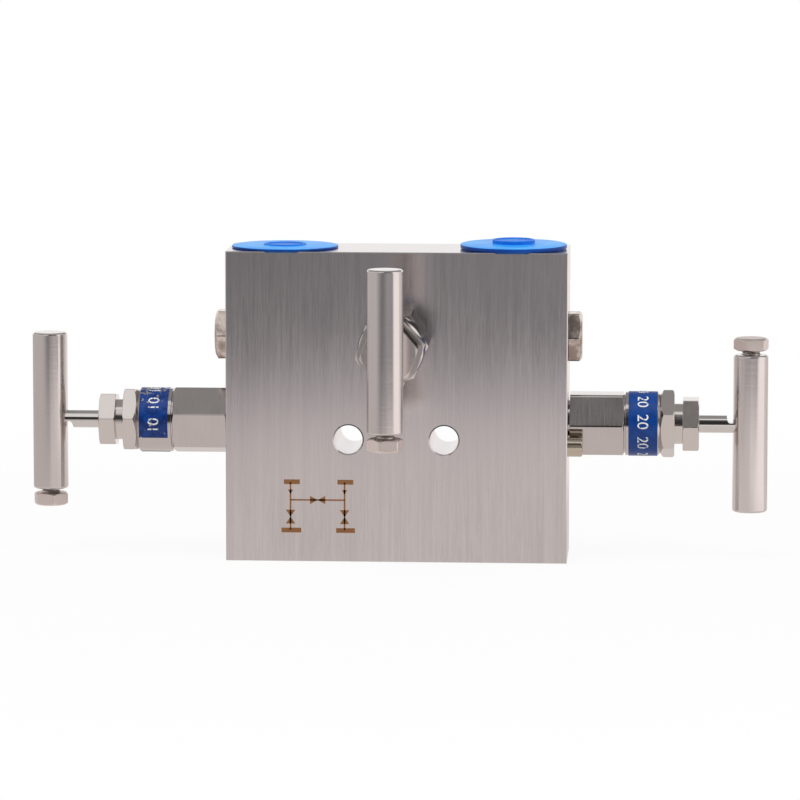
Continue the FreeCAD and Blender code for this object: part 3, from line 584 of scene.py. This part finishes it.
def make_bonnet(valve):
    """Hexagon, groove and round collar, bored for the packing bolt."""
    angles = hex_columns(valve.bonnet_clock, BONNET_FLATS, valve.bonnet_corner)
    inner_end = HEX_START - 0.9
    relief = 7.25
    groove = 9.3
    chamfer = 0.8
    rows = ring_rows(angles, (PACKING_THREAD, COLLAR_END), (PACKING_THREAD, inner_end),
                     (relief, inner_end), (relief, HEX_START))
    rows += hex_rows(angles, BONNET_FLATS, valve.bonnet_clock, HEX_START, HEX_END,
                     start_chamfer=0.25, end_chamfer=0.5, fillet=valve.bonnet_corner)
    rows += ring_rows(angles, (groove, HEX_END), (groove, COLLAR_START), (COLLAR_RADIUS, COLLAR_START),
                      (COLLAR_RADIUS, COLLAR_END - chamfer), (COLLAR_RADIUS - chamfer, COLLAR_END))
    piece = turned(f"bonnet_{valve.side}", rows, valve.place, hollow=True, edge=FINE_EDGE)
    dress(piece, valve.turned, "block", "bonnet_steel", f"{valve.name}_bonnet")


def make_band(valve):
    """Blue identification band: an open ring around the collar."""
    count = 63
    angles = np.radians(np.linspace(valve.band_clock, valve.band_clock + 360 - BAND_GAP, count))
    gap = 0.02
    inner = COLLAR_RADIUS + gap
    outer = COLLAR_RADIUS + BAND_THICKNESS
    corners = [(inner, BAND_START), (outer, BAND_START), (outer, BAND_END), (inner, BAND_END)]
    points = np.concatenate(ring_rows(angles, *corners))
    faces = []
    for k in range(4):
        for i in range(count - 1):
            low, high = k * count + i, (k + 1) % 4 * count + i
            faces.append((low, low + 1, high + 1, high))
    faces += [tuple(k * count for k in range(4)), tuple(k * count + count - 1 for k in range(4))]
    piece = mesh_object(f"band_{valve.side}", [(valve.place(points), faces)])
    break_edges(piece, BAND_EDGE)
    dress(piece, f"band_{valve.side}", "block", "blue_band", f"{valve.name}_id_band")


def flat_number(number):
    """Points in millimetres and faces of a number lying flat, cut into strips that can bend."""
    curve = bpy.data.curves.new("flat_number", "FONT")
    curve.body = number
    curve.size = 4.9
    # to either side, so that the print is twice as thick
    curve.extrude = 0.02
    curve.align_x = "CENTER"
    sample = bpy.data.objects.new("flat_number", curve)
    bpy.context.scene.collection.objects.link(sample)
    bpy.context.view_layer.update()
    graph = bpy.context.evaluated_depsgraph_get()
    flat = bpy.data.meshes.new_from_object(sample.evaluated_get(graph), depsgraph=graph)
    form = bmesh.new()
    form.from_mesh(flat)
    bmesh.ops.remove_doubles(form, verts=form.verts, dist=1e-4)
    half_width = 6.0
    strip = 0.6
    for cut in np.arange(-half_width, half_width, strip):
        bmesh.ops.bisect_plane(form, geom=form.verts[:] + form.edges[:] + form.faces[:],
                               plane_co=(cut, 0, 0), plane_no=(1, 0, 0))
    form.verts.index_update()
    points = np.array([tuple(v.co) for v in form.verts])
    faces = [tuple(v.index for v in face.verts) for face in form.faces]
    form.free()
    bpy.data.objects.remove(sample)
    bpy.data.meshes.remove(flat)
    bpy.data.curves.remove(curve)
    return points, faces


def make_numbers(valve, number):
    """Plain white valve number printed on the band, again and again around it."""
    letters, faces = flat_number(number)
    height = letters[:, 1].max()
    lift = 0.03
    radius = COLLAR_RADIUS + BAND_THICKNESS + lift
    first = valve.band_clock + 24.0
    last = valve.band_clock + 300.0
    parts = []
    for middle in np.arange(first, last, 40.0):
        turn = np.radians(middle) + letters[:, 0] / radius
        out = radius + letters[:, 2]
        station = (BAND_START + BAND_END) / 2 + letters[:, 1] - height / 2
        points = np.stack([out * np.cos(turn), out * np.sin(turn), station], axis=1)
        parts.append((valve.place(points), faces))
    piece = mesh_object(f"number_{valve.side}", parts)
    dress(piece, "mark", "block", "blue_band")


def make_lock_nut(valve):
    """Hexagon nut that locks the packing bolt against the bonnet."""
    angles = hex_columns(valve.nut_clock, NUT_FLATS, NUT_CORNER)
    countersink = 0.5
    rows = hex_rows(angles, NUT_FLATS, valve.nut_clock, COLLAR_END, NUT_END,
                    start_chamfer=1.0, end_chamfer=0.5)
    rows += ring_rows(angles, (PACKING_THREAD + countersink, NUT_END),
                      (PACKING_THREAD, NUT_END - countersink), (PACKING_THREAD, COLLAR_END))
    piece = turned(f"lock_nut_{valve.side}", rows, valve.place, hollow=True, edge=FINE_EDGE)
    dress(piece, "nut", "block", "nut_steel", f"{valve.name}_lock_nut")


def make_packing_bolt(valve):
    """Threaded bush with a hexagon head that the stem runs through."""
    angles = hex_columns(valve.head_clock, HEAD_FLATS, NUT_CORNER)
    bore = STEM_RADIUS + 0.08
    inner_end = COLLAR_END - 8.0
    countersink = 0.4
    rows = ring_rows(angles, (bore, inner_end), (PACKING_THREAD, inner_end), (PACKING_THREAD, HEAD_START))
    rows += hex_rows(angles, HEAD_FLATS, valve.head_clock, HEAD_START, HEAD_END,
                     start_chamfer=0.3, end_chamfer=0.5)
    rows += ring_rows(angles, (bore + countersink, HEAD_END), (bore, HEAD_END - countersink))
    piece = turned(f"packing_bolt_{valve.side}", rows, valve.place, hollow=True, edge=FINE_EDGE)
    dress(piece, "nut", "block", "nut_steel", f"{valve.name}_packing_bolt")


def make_stem(valve):
    """Polished stem, cut away on the bolt's side just before the T-bar."""
    angles = columns(4.0)
    inner_end = 8.0
    plain_end = BAR_NEAR - 2.7
    round_start = BAR_NEAR - 1.9
    round_length = 1.0

    def flattened(height):
        """Radius in each direction once the side towards the bolt is cut down to a height."""
        toward = np.maximum(np.cos(angles), 1e-6)
        limit = np.where(np.cos(angles) > 0, height / toward, STEM_RADIUS)
        return np.minimum(STEM_RADIUS, limit)

    rows = ring_rows(angles, (0.0, inner_end), (STEM_RADIUS, inner_end), (STEM_RADIUS, plain_end))
    for turn in np.radians(np.linspace(0, 90, 7)):
        # quarter round left by the cutter, from the stem's surface down to the flat
        height = STEM_FLAT + (STEM_RADIUS - STEM_FLAT) * (1 - math.sin(turn))
        station = round_start + round_length * (1 - math.cos(turn))
        rows.append(ring_row(angles, flattened(height), station))
    rows += ring_rows(angles, (flattened(STEM_FLAT), STEM_END), (0.0, STEM_END))
    piece = turned(f"stem_{valve.side}", rows, valve.place, edge=0)
    dress(piece, valve.stem, valve.handle, "stem_steel", f"{valve.name}_stem")


def make_bar(valve):
    """T-bar: a round bar with broken edges and a tapped hole in the end that carries the bolt."""
    angles = columns(3.75)
    chamfer = 0.5
    hole = BOLT_RADIUS - 0.25
    hole_bottom = 3.0
    countersink = BOLT_RADIUS + 0.4
    countersink_depth = 0.6
    rows = ring_rows(angles, (0.0, BAR_FREE_END), (BAR_RADIUS - chamfer, BAR_FREE_END),
                     (BAR_RADIUS, BAR_FREE_END + chamfer), (BAR_RADIUS, BAR_BOLT_END - chamfer),
                     (BAR_RADIUS - chamfer, BAR_BOLT_END), (countersink, BAR_BOLT_END),
                     (hole, BAR_BOLT_END - countersink_depth), (hole, hole_bottom), (0.0, hole_bottom))
    piece = turned(f"t_bar_{valve.side}", rows, valve.place_bar, edge=BAR_EDGE)
    dress(piece, "bar", valve.handle, "handle_steel", f"{valve.name}_handle_bar")


def make_bolt(valve):
    """Bolt in the end of the T-bar: hexagon head with both faces' corners turned off."""
    clock = 15.0
    angles = hex_columns(clock, BOLT_FLATS, BOLT_CORNER)
    core = BOLT_RADIUS - 0.45
    shank_end = 4.0
    rows = ring_rows(angles, (0.0, shank_end), (core, shank_end), (core, BOLT_HEAD_START))
    rows += hex_rows(angles, BOLT_FLATS, clock, BOLT_HEAD_START, BOLT_HEAD_END,
                     start_chamfer=0.7, end_chamfer=0.7, fillet=BOLT_CORNER)
    rows.append(ring_row(angles, 0.0, BOLT_HEAD_END))
    piece = turned(f"bolt_{valve.side}", rows, valve.place_bar, segments=3)
    dress(piece, "bolt", valve.handle, "bolt_steel", f"{valve.name}_handle_bolt")


def thread_tree():
    """Node group that winds a thread's ridge: a spiral swept with a three-sided profile."""
    tree = bpy.data.node_groups.new("thread_ridge", "GeometryNodeTree")
    tree.interface.new_socket("Geometry", in_out="OUTPUT", socket_type="NodeSocketGeometry")
    for label, kind, value in (("Radius", "NodeSocketFloat", 0.006), ("Height", "NodeSocketFloat", 0.003),
                               ("Turns", "NodeSocketFloat", 3.0), ("Ridge", "NodeSocketFloat", 0.0006),
                               ("Steps a turn", "NodeSocketInt", 40),
                               ("Material", "NodeSocketMaterial", None)):
        made = tree.interface.new_socket(label, in_out="INPUT", socket_type=kind)
        if value is not None:
            made.default_value = value
    source = tree.nodes.new("NodeGroupInput")
    spiral = tree.nodes.new("GeometryNodeCurveSpiral")
    upright = tree.nodes.new("GeometryNodeSetCurveNormal")
    upright.mode = "Z_UP"
    profile = tree.nodes.new("GeometryNodeCurvePrimitiveCircle")
    profile.inputs["Resolution"].default_value = 3
    sweep = tree.nodes.new("GeometryNodeCurveToMesh")
    sweep.inputs["Fill Caps"].default_value = True
    real = tree.nodes.new("GeometryNodeRealizeInstances")
    paint = tree.nodes.new("GeometryNodeSetMaterial")
    end = tree.nodes.new("NodeGroupOutput")
    for first, out, second, into in (
            (source, "Radius", spiral, "Start Radius"), (source, "Radius", spiral, "End Radius"),
            (source, "Height", spiral, "Height"), (source, "Turns", spiral, "Rotations"),
            (source, "Steps a turn", spiral, "Resolution"), (source, "Ridge", profile, "Radius"),
            (spiral, "Curve", upright, "Curve"), (upright, "Curve", sweep, "Curve"),
            (profile, "Curve", sweep, "Profile Curve"), (sweep, "Mesh", real, "Geometry"),
            (real, "Geometry", paint, "Geometry"), (source, "Material", paint, "Material"),
            (paint, "Geometry", end, "Geometry")):
        tree.links.new(first.outputs[out], second.inputs[into])
    return tree


THREAD = thread_tree()


def make_thread(name, place, radius, start, end, pitch, ridge, steps):
    """A thread's ridge around the place's axis between two stations, as a plain mesh.

    The ridge points outward, or towards the axis where its size is below zero.
    """
    piece = bpy.data.objects.new(name, bpy.data.meshes.new(name))
    bpy.context.scene.collection.objects.link(piece)
    wind = piece.modifiers.new("thread", "NODES")
    wind.node_group = THREAD
    values = {"Radius": radius * MM, "Height": (end - start) * MM, "Turns": (end - start) / pitch,
              "Ridge": ridge * MM, "Steps a turn": steps, "Material": FINISHES["thread"].material}
    for item in THREAD.interface.items_tree:
        if item.name in values and item.in_out == "INPUT":
            wind[item.identifier] = values[item.name]
    settle(piece)
    points = np.array([tuple(v.co) for v in piece.data.vertices]) / MM
    points[:, 2] += start
    for vertex, point in zip(piece.data.vertices, place(points)):
        vertex.co = Vector(point) * MM
    form = bmesh.new()
    form.from_mesh(piece.data)
    bmesh.ops.recalc_face_normals(form, faces=form.faces)
    form.to_mesh(piece.data)
    form.free()
    return piece


def make_bolt_thread(valve):
    """The bolt's thread that shows between the T-bar and its head."""
    ridge = 0.33
    piece = make_thread(f"bolt_thread_{valve.side}", valve.place_bar, radius=BOLT_RADIUS - ridge,
                        start=BAR_BOLT_END - 3.0, end=BOLT_HEAD_START + 0.5, pitch=1.0, ridge=ridge,
                        steps=32)
    dress(piece, "thread", valve.handle, "bolt_steel")


def make_port_thread(side, sign):
    """Female thread of the process port in the block's underside."""
    piece = make_thread(f"port_thread_{side}", lambda points: points + (sign * PORT_X, 0.0, 0.0),
                        radius=PORT_TAP_RADIUS + 0.1, start=2.2, end=17.5, pitch=1.814, ridge=-0.75,
                        steps=60)
    dress(piece, "port_thread", "block", "block_steel")


def make_lock_pins():
    """Three pins that stand beside the bonnets' flats."""
    angles = columns(10.0)
    inner_end = -8.0
    parts = []
    for valve in VALVES:
        turn = math.radians(valve.pin_direction)
        middle = np.array([PIN_OFFSET * math.cos(turn), PIN_OFFSET * math.sin(turn), 0.0])
        # the outer end has a rounded edge
        rows = ring_rows(angles, (0.0, inner_end), (PIN_RADIUS, inner_end),
                         (PIN_RADIUS, PIN_PROJECTION - 0.5), (PIN_RADIUS - 0.2, PIN_PROJECTION - 0.13),
                         (PIN_RADIUS - 0.5, PIN_PROJECTION), (0.0, PIN_PROJECTION))
        points, faces = skin(rows)
        parts.append((valve.place(points + middle), faces))
    piece = mesh_object("lock_pins", parts)
    dress(piece, "pin", "block", "pin_steel", "bonnet_lock_pins")


def make_plug(side, sign):
    """Vent plug: hexagon head with rounded corners over a threaded shank."""
    angles = hex_columns(0.0, PLUG_FLATS, PLUG_CORNER)
    shank = 6.5
    chamfer = 1.0
    inner_end = -8.5
    head_start = 0.02

    def place(points):
        x, y, z = np.asarray(points, float).T
        return np.stack([sign * (BLOCK_WIDTH / 2 + z), x, UPPER_HEIGHT + sign * y], axis=1)

    rows = ring_rows(angles, (0.0, inner_end), (shank - chamfer, inner_end), (shank, inner_end + chamfer),
                     (shank, head_start))
    rows += hex_rows(angles, PLUG_FLATS, 0.0, head_start, PLUG_HEAD, end_chamfer=1.1, fillet=PLUG_CORNER)
    rows.append(ring_row(angles, 0.0, PLUG_HEAD))
    piece = turned(f"vent_plug_{side}", rows, place, segments=3)
    dress(piece, "plug", "block", "plug_steel", f"{side}_vent_plug")


def make_cap(side, sign, thick, boss_height, lean):
    """Dust cap: flange, raised centre with a dish, and a hollow tapered shank.

    The flange is thick millimetres thick and the centre stands boss_height above it. Its front edge
    rests on the block, and it leans back up by the angle lean, in degrees.
    """
    angles = columns()
    flange = 16.75
    boss = 6.7
    dish = 5.7
    dish_depth = 0.3
    shank_end = -8.0
    top = thick + boss_height
    shank = [(7.7, 0.0), (7.1, shank_end), (8.4, shank_end), (9.0, 0.0)]
    rim = [(flange - 0.3, 0.0), (flange - 0.08, 0.08), (flange, 0.3), (flange, thick - 0.3),
           (flange - 0.08, thick - 0.08), (flange - 0.3, thick)]
    centre = [(boss + 0.2, thick), (boss, thick + 0.2), (boss, top - 0.15), (boss - 0.15, top),
              (dish + 0.1, top), (dish, top - 0.1), (dish - 0.1, top - dish_depth)]
    profile = [(0.0, 0.0)] + shank + rim + centre + [(0.0, top - dish_depth)]
    rest = BLOCK_DEPTH / 2 - 0.3
    turn = math.radians(lean)

    def place(points):
        x, y, z = np.asarray(points, float).T
        y = y + rest
        return np.stack([sign * PORT_X + x, y * math.cos(turn) - z * math.sin(turn) - rest,
                         BLOCK_HEIGHT + y * math.sin(turn) + z * math.cos(turn)], axis=1)

    piece = turned(f"dust_cap_{side}", ring_rows(angles, *profile), place, edge=0)
    dress(piece, "cap", f"{side}_cap", "cap_plastic", f"{side}_dust_cap")
    # the centre gets a darker blue copy, which is painted shade for its lesser sheen
    piece.data.materials.append(FINISHES["cap_centre_painted_shade"].material)
    # the rim gets the darker blue copy, which is painted shade
    piece.data.materials.append(FINISHES["cap_rim_painted_shade"].material)
    painted_shade_centre_material, painted_shade_rim_material = 1, 2
    middle = Vector(place([(0.0, 0.0, top)])[0]) * MM
    centre_bottom = middle.z - 0.9 * MM * boss_height
    centre_reach = (boss + 0.1) * MM
    rim_start = (flange - 0.75) * MM
    for face in piece.data.polygons:
        out = (face.center - middle).length
        if face.center.z > centre_bottom and out < centre_reach:
            face.material_index = painted_shade_centre_material
        elif out > rim_start and face.normal.z < 0.5:
            face.material_index = painted_shade_rim_material


def slab(outline, low, high):
    """Points and faces of a flat plate that stands on the front face, from its outline (x, z)."""
    count = len(outline)
    points = [(x, low, z) for x, z in outline] + [(x, high, z) for x, z in outline]
    faces = [tuple(range(count)), tuple(range(count, 2 * count))[::-1]]
    faces += [(i, (i + 1) % count, (i + 1) % count + count, i + count) for i in range(count)]
    return points, faces


def make_diagram():
    """Flow diagram etched on the front face: two lines, a valve in each and one between them."""
    face = -BLOCK_DEPTH / 2
    low = face + 0.01
    high = face - 0.025
    half_line = 0.25
    cross_height = 19.45
    valve_height = 14.1
    arrow_top = 22.7
    arrow_tip = 21.2
    arrow_half = 0.85

    def bar(x0, x1, z0, z1):
        return [(x0, z0), (x1, z0), (x1, z1), (x0, z1)]

    def bow(x, z, half, reach, upright):
        """Two triangles that meet at a point, one above the other or side by side."""
        if upright:
            return [[(x - half, z + reach), (x + half, z + reach), (x, z)],
                    [(x - half, z - reach), (x + half, z - reach), (x, z)]]
        return [[(x - reach, z - half), (x - reach, z + half), (x, z)],
                [(x + reach, z - half), (x + reach, z + half), (x, z)]]

    shapes = [bar(-33.1, -16.1, cross_height - half_line, cross_height + half_line)]
    shapes += bow(-24.6, cross_height, 1.3, 2.4, False)
    # each line with the bars across its upper and lower end
    for line, upper, lower in ((-33.15, (-35.2, -30.2), (-36.0, -29.8)),
                               (-16.15, (-18.4, -13.4), (-18.8, -12.9))):
        shapes += [bar(line - half_line, line + half_line, 10.0, 25.0)]
        shapes += [bar(*upper, 24.4, 25.9), bar(*lower, 9.1, 10.6)]
        shapes += bow(line, valve_height, 1.5, 2.2, True)
        shapes += [[(line - arrow_half, arrow_top), (line + arrow_half, arrow_top), (line, arrow_tip)]]
    piece = mesh_object("flow_diagram", [slab(shape, low, high) for shape in shapes])
    dress(piece, "etching", "block", "block_steel")


def room_sides(azimuth, strip_start, strip_soft, left_end, left_level):
    """How bright polished metal sees what is beside and behind the object.

    By azimuth, in degrees to the right of straight ahead: a bright strip, a light wall after it,
    white behind, and a grey wall on the left that reaches round to left_end.
    """
    strip = azimuth.between(strip_start, 99, strip_soft) * 1.2
    right_wall = azimuth.between(99, 128, 5) * 0.8
    left_wall = azimuth.between(-142, left_end, 6) * left_level
    behind = azimuth.rises(126, 138) + azimuth.rises(-140, -152)
    return strip + right_wall + left_wall + behind


def make_floor():
    """White floor that keeps the object's shadow.

    Polished metal sees it light near the object, bright a little further in front and dark beyond.
    Its places are in metres.
    """
    paint = Finish("white_floor", Base_Color=(0.80, 0.795, 0.79, 1.0), Roughness=0.9)
    ray = paint.node("ShaderNodeLightPath")
    x, y, _ = paint.coordinates()
    azimuth = x.maths("ARCTAN2", y * -1.0) * DEGREES
    reach = (x * x + y * y) ** 0.5

    bright = reach.rises(0.65, 0.37) * 0.68
    far_glow = reach.rises(0.70, 0.84) * 0.20
    darkest = 0.155
    left_dimmed = x.rises(-0.05, -0.12) * 0.25
    right_lifted = x.rises(0.07, 0.12) * 0.24
    ahead = (bright + far_glow + darkest) * (1 - left_dimmed + right_lifted)
    aside = room_sides(azimuth, strip_start=46, strip_soft=4, left_end=0, left_level=0.61)
    sides = azimuth.rises(46, 60) + azimuth.rises(-16, -50)
    away = reach.rises(0.12, 0.26)
    near_glow = 0.78
    glow = (ahead * (1 - sides) + aside * sides) * away + (1 - away) * near_glow
    far_tint = (1.0, 0.97, 0.995)
    near_tint = (1.0, 0.935, 0.905)
    tint = paint.mix(y.rises(-0.60, -0.30), far_tint, near_tint)
    mirrored = paint.node("ShaderNodeEmission", None, {"Color": tint, "Strength": glow})("Emission")

    # the camera sees it nearly white, and wholly white further out
    plain = Socket(paint.tree, paint.shader.outputs[0])
    whiter = reach.rises(0.14, 0.45) * 0.07 + 0.93
    seen = paint.mix_shaders(ray("Is Camera Ray") * whiter, plain, paint.emission((1.0, 1.0, 1.0), 1.0))
    both = paint.mix_shaders(ray("Is Glossy Ray"), seen, mirrored)
    paint.tree.links.new(both.socket, paint.end.inputs["Surface"])

    side, front, back = 2.0, -2.5, 2.0
    # a hair below the block, so that the two faces don't coincide
    level = -0.0001
    mesh = bpy.data.meshes.new("floor")
    corners = [(-side, front, level), (side, front, level), (side, back, level), (-side, back, level)]
    mesh.from_pydata(corners, [], [(0, 1, 2, 3)])
    floor = bpy.data.objects.new("floor", mesh)
    bpy.context.scene.collection.objects.link(floor)
    mesh.materials.append(paint.material)


def make_studio():
    """World: white to the camera, and a room to everything else.

    The room is black low in front, with a bright ceiling panel ahead, a bright strip on the right
    and a grey wall on the left.
    """
    world = bpy.data.worlds.new("studio")
    world.use_nodes = True
    bpy.context.scene.world = world
    room = Nodes(world.node_tree)
    direction = room.node("ShaderNodeTexCoord")("Generated")
    parts = room.node("ShaderNodeSeparateXYZ", None, {"Vector": direction})
    x, y, z = parts("X"), parts("Y"), parts("Z")
    azimuth = x.maths("ARCTAN2", y * -1.0) * DEGREES
    pitch = z.maths("ARCTAN2", y * -1.0) * DEGREES

    # the arc from the front over the top to the back, by its pitch in degrees from the front;
    # its low part is brighter where the left valve looks than where the right one does
    leftward = x.rises(-0.03, -0.10)
    low = pitch.between(31, 59, 3) * leftward * 0.86 + pitch.between(46, 59, 3) * 0.12
    panel = pitch.between(61, 79, 2) * 0.98
    ceiling = pitch.between(80, 150, 3) * 0.31
    back = pitch.rises(150, 162) + pitch.rises(-150, -162)
    # lighter to either side low down, for views from behind
    sideways = (x * x).rises(0.035, 0.09)
    low_sides = pitch.between(-10, 33, 3) * sideways * 0.3
    darkest = 0.04
    arc = low + panel + ceiling + back + low_sides + darkest
    walls = room_sides(azimuth, strip_start=56, strip_soft=3, left_end=-50, left_level=0.70)
    sides = (x * x).rises(0.30, 0.50)
    light = walls * sides + arc * (1 - sides)

    warm_white = (1.0, 0.985, 0.975, 1.0)
    background = room.node("ShaderNodeBackground", None, {"Color": warm_white, "Strength": light})
    white = room.node("ShaderNodeBackground", None, {"Color": (1.0, 1.0, 1.0, 1.0), "Strength": 1.0})
    camera_ray = room.node("ShaderNodeLightPath")("Is Camera Ray")
    both = room.mix_shaders(camera_ray, background("Background"), white("Background"))
    output = room.tree.nodes.new("ShaderNodeOutputWorld")
    room.tree.links.new(both.socket, output.inputs["Surface"])


def make_lamp(name, place, target, size, power):
    """Soft lamp that lights what is matte; polished metal mirrors only the room and the floor."""
    data = bpy.data.lights.new(name, "AREA")
    data.shape = "SQUARE"
    data.size = size
    data.energy = power
    lamp = bpy.data.objects.new(name, data)
    bpy.context.scene.collection.objects.link(lamp)
    lamp.location = place
    lamp.visible_glossy = False
    lamp.rotation_euler = (Vector(target) - Vector(place)).to_track_quat("-Z", "Y").to_euler()


def make_camera():
    """Camera fitted to the photograph's corners, holes and valves."""
    azimuth, elevation, roll = math.radians(3.32), math.radians(6.94), math.radians(0.07)
    distance = 1.501
    target = Vector((0.00029, 0.0, 0.0493))
    toward = Vector((math.sin(azimuth) * math.cos(elevation), -math.cos(azimuth) * math.cos(elevation),
                     math.sin(elevation)))
    data = bpy.data.cameras.new("camera")
    data.lens = 213.84
    data.sensor_width = 36.0
    data.clip_start = 0.05
    camera = bpy.data.objects.new("camera", data)
    bpy.context.scene.collection.objects.link(camera)
    camera.location = target + toward * distance
    camera.rotation_euler = (-toward).to_track_quat("-Z", "Y").to_euler()
    camera.rotation_euler.rotate_axis("Z", roll)
    bpy.context.scene.camera = camera


# What the CAD nodes that stay visible are made of
STAYING = {
    "bonnet_gasket": "gasket", "gland_ring": "gland", "packing_rings": "packing",
    "packing_washer": "gland", "needle_tip": "stem_x",
}
for node_name, node_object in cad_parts.items():
    if node_name == "manifold_block":
        chosen = "block"
    else:
        chosen = next((f for ending, f in STAYING.items() if node_name.endswith(ending)), None)
    if chosen:
        for material_slot in node_object.material_slots:
            material_slot.material = FINISHES[chosen].material

for valve, valve_number in zip(VALVES, ("10", "20", "30")):
    make_bonnet(valve)
    make_band(valve)
    make_numbers(valve, valve_number)
    make_lock_nut(valve)
    make_packing_bolt(valve)
    make_stem(valve)
    make_bar(valve)
    make_bolt(valve)
    make_bolt_thread(valve)
make_lock_pins()
# Each side: its sign along X, and its dust cap's flange, centre and lean
for side, sign, thick, boss_height, lean in (("left", -1, 0.8, 0.5, 0.0), ("right", 1, 1.3, 1.4, 0.85)):
    make_plug(side, sign)
    make_port_thread(side, sign)
    make_cap(side, sign, thick, boss_height, lean)
make_diagram()

make_floor()
make_studio()
make_lamp("overhead", place=(-0.3, -0.5, 1.6), target=(0, 0, 0), size=1.2, power=14.0)
make_lamp("fill", place=(1.2, -0.9, 0.9), target=(0, 0, 0.05), size=0.8, power=5.0)
make_camera()
bpy.context.scene.view_settings.view_transform = "Standard"
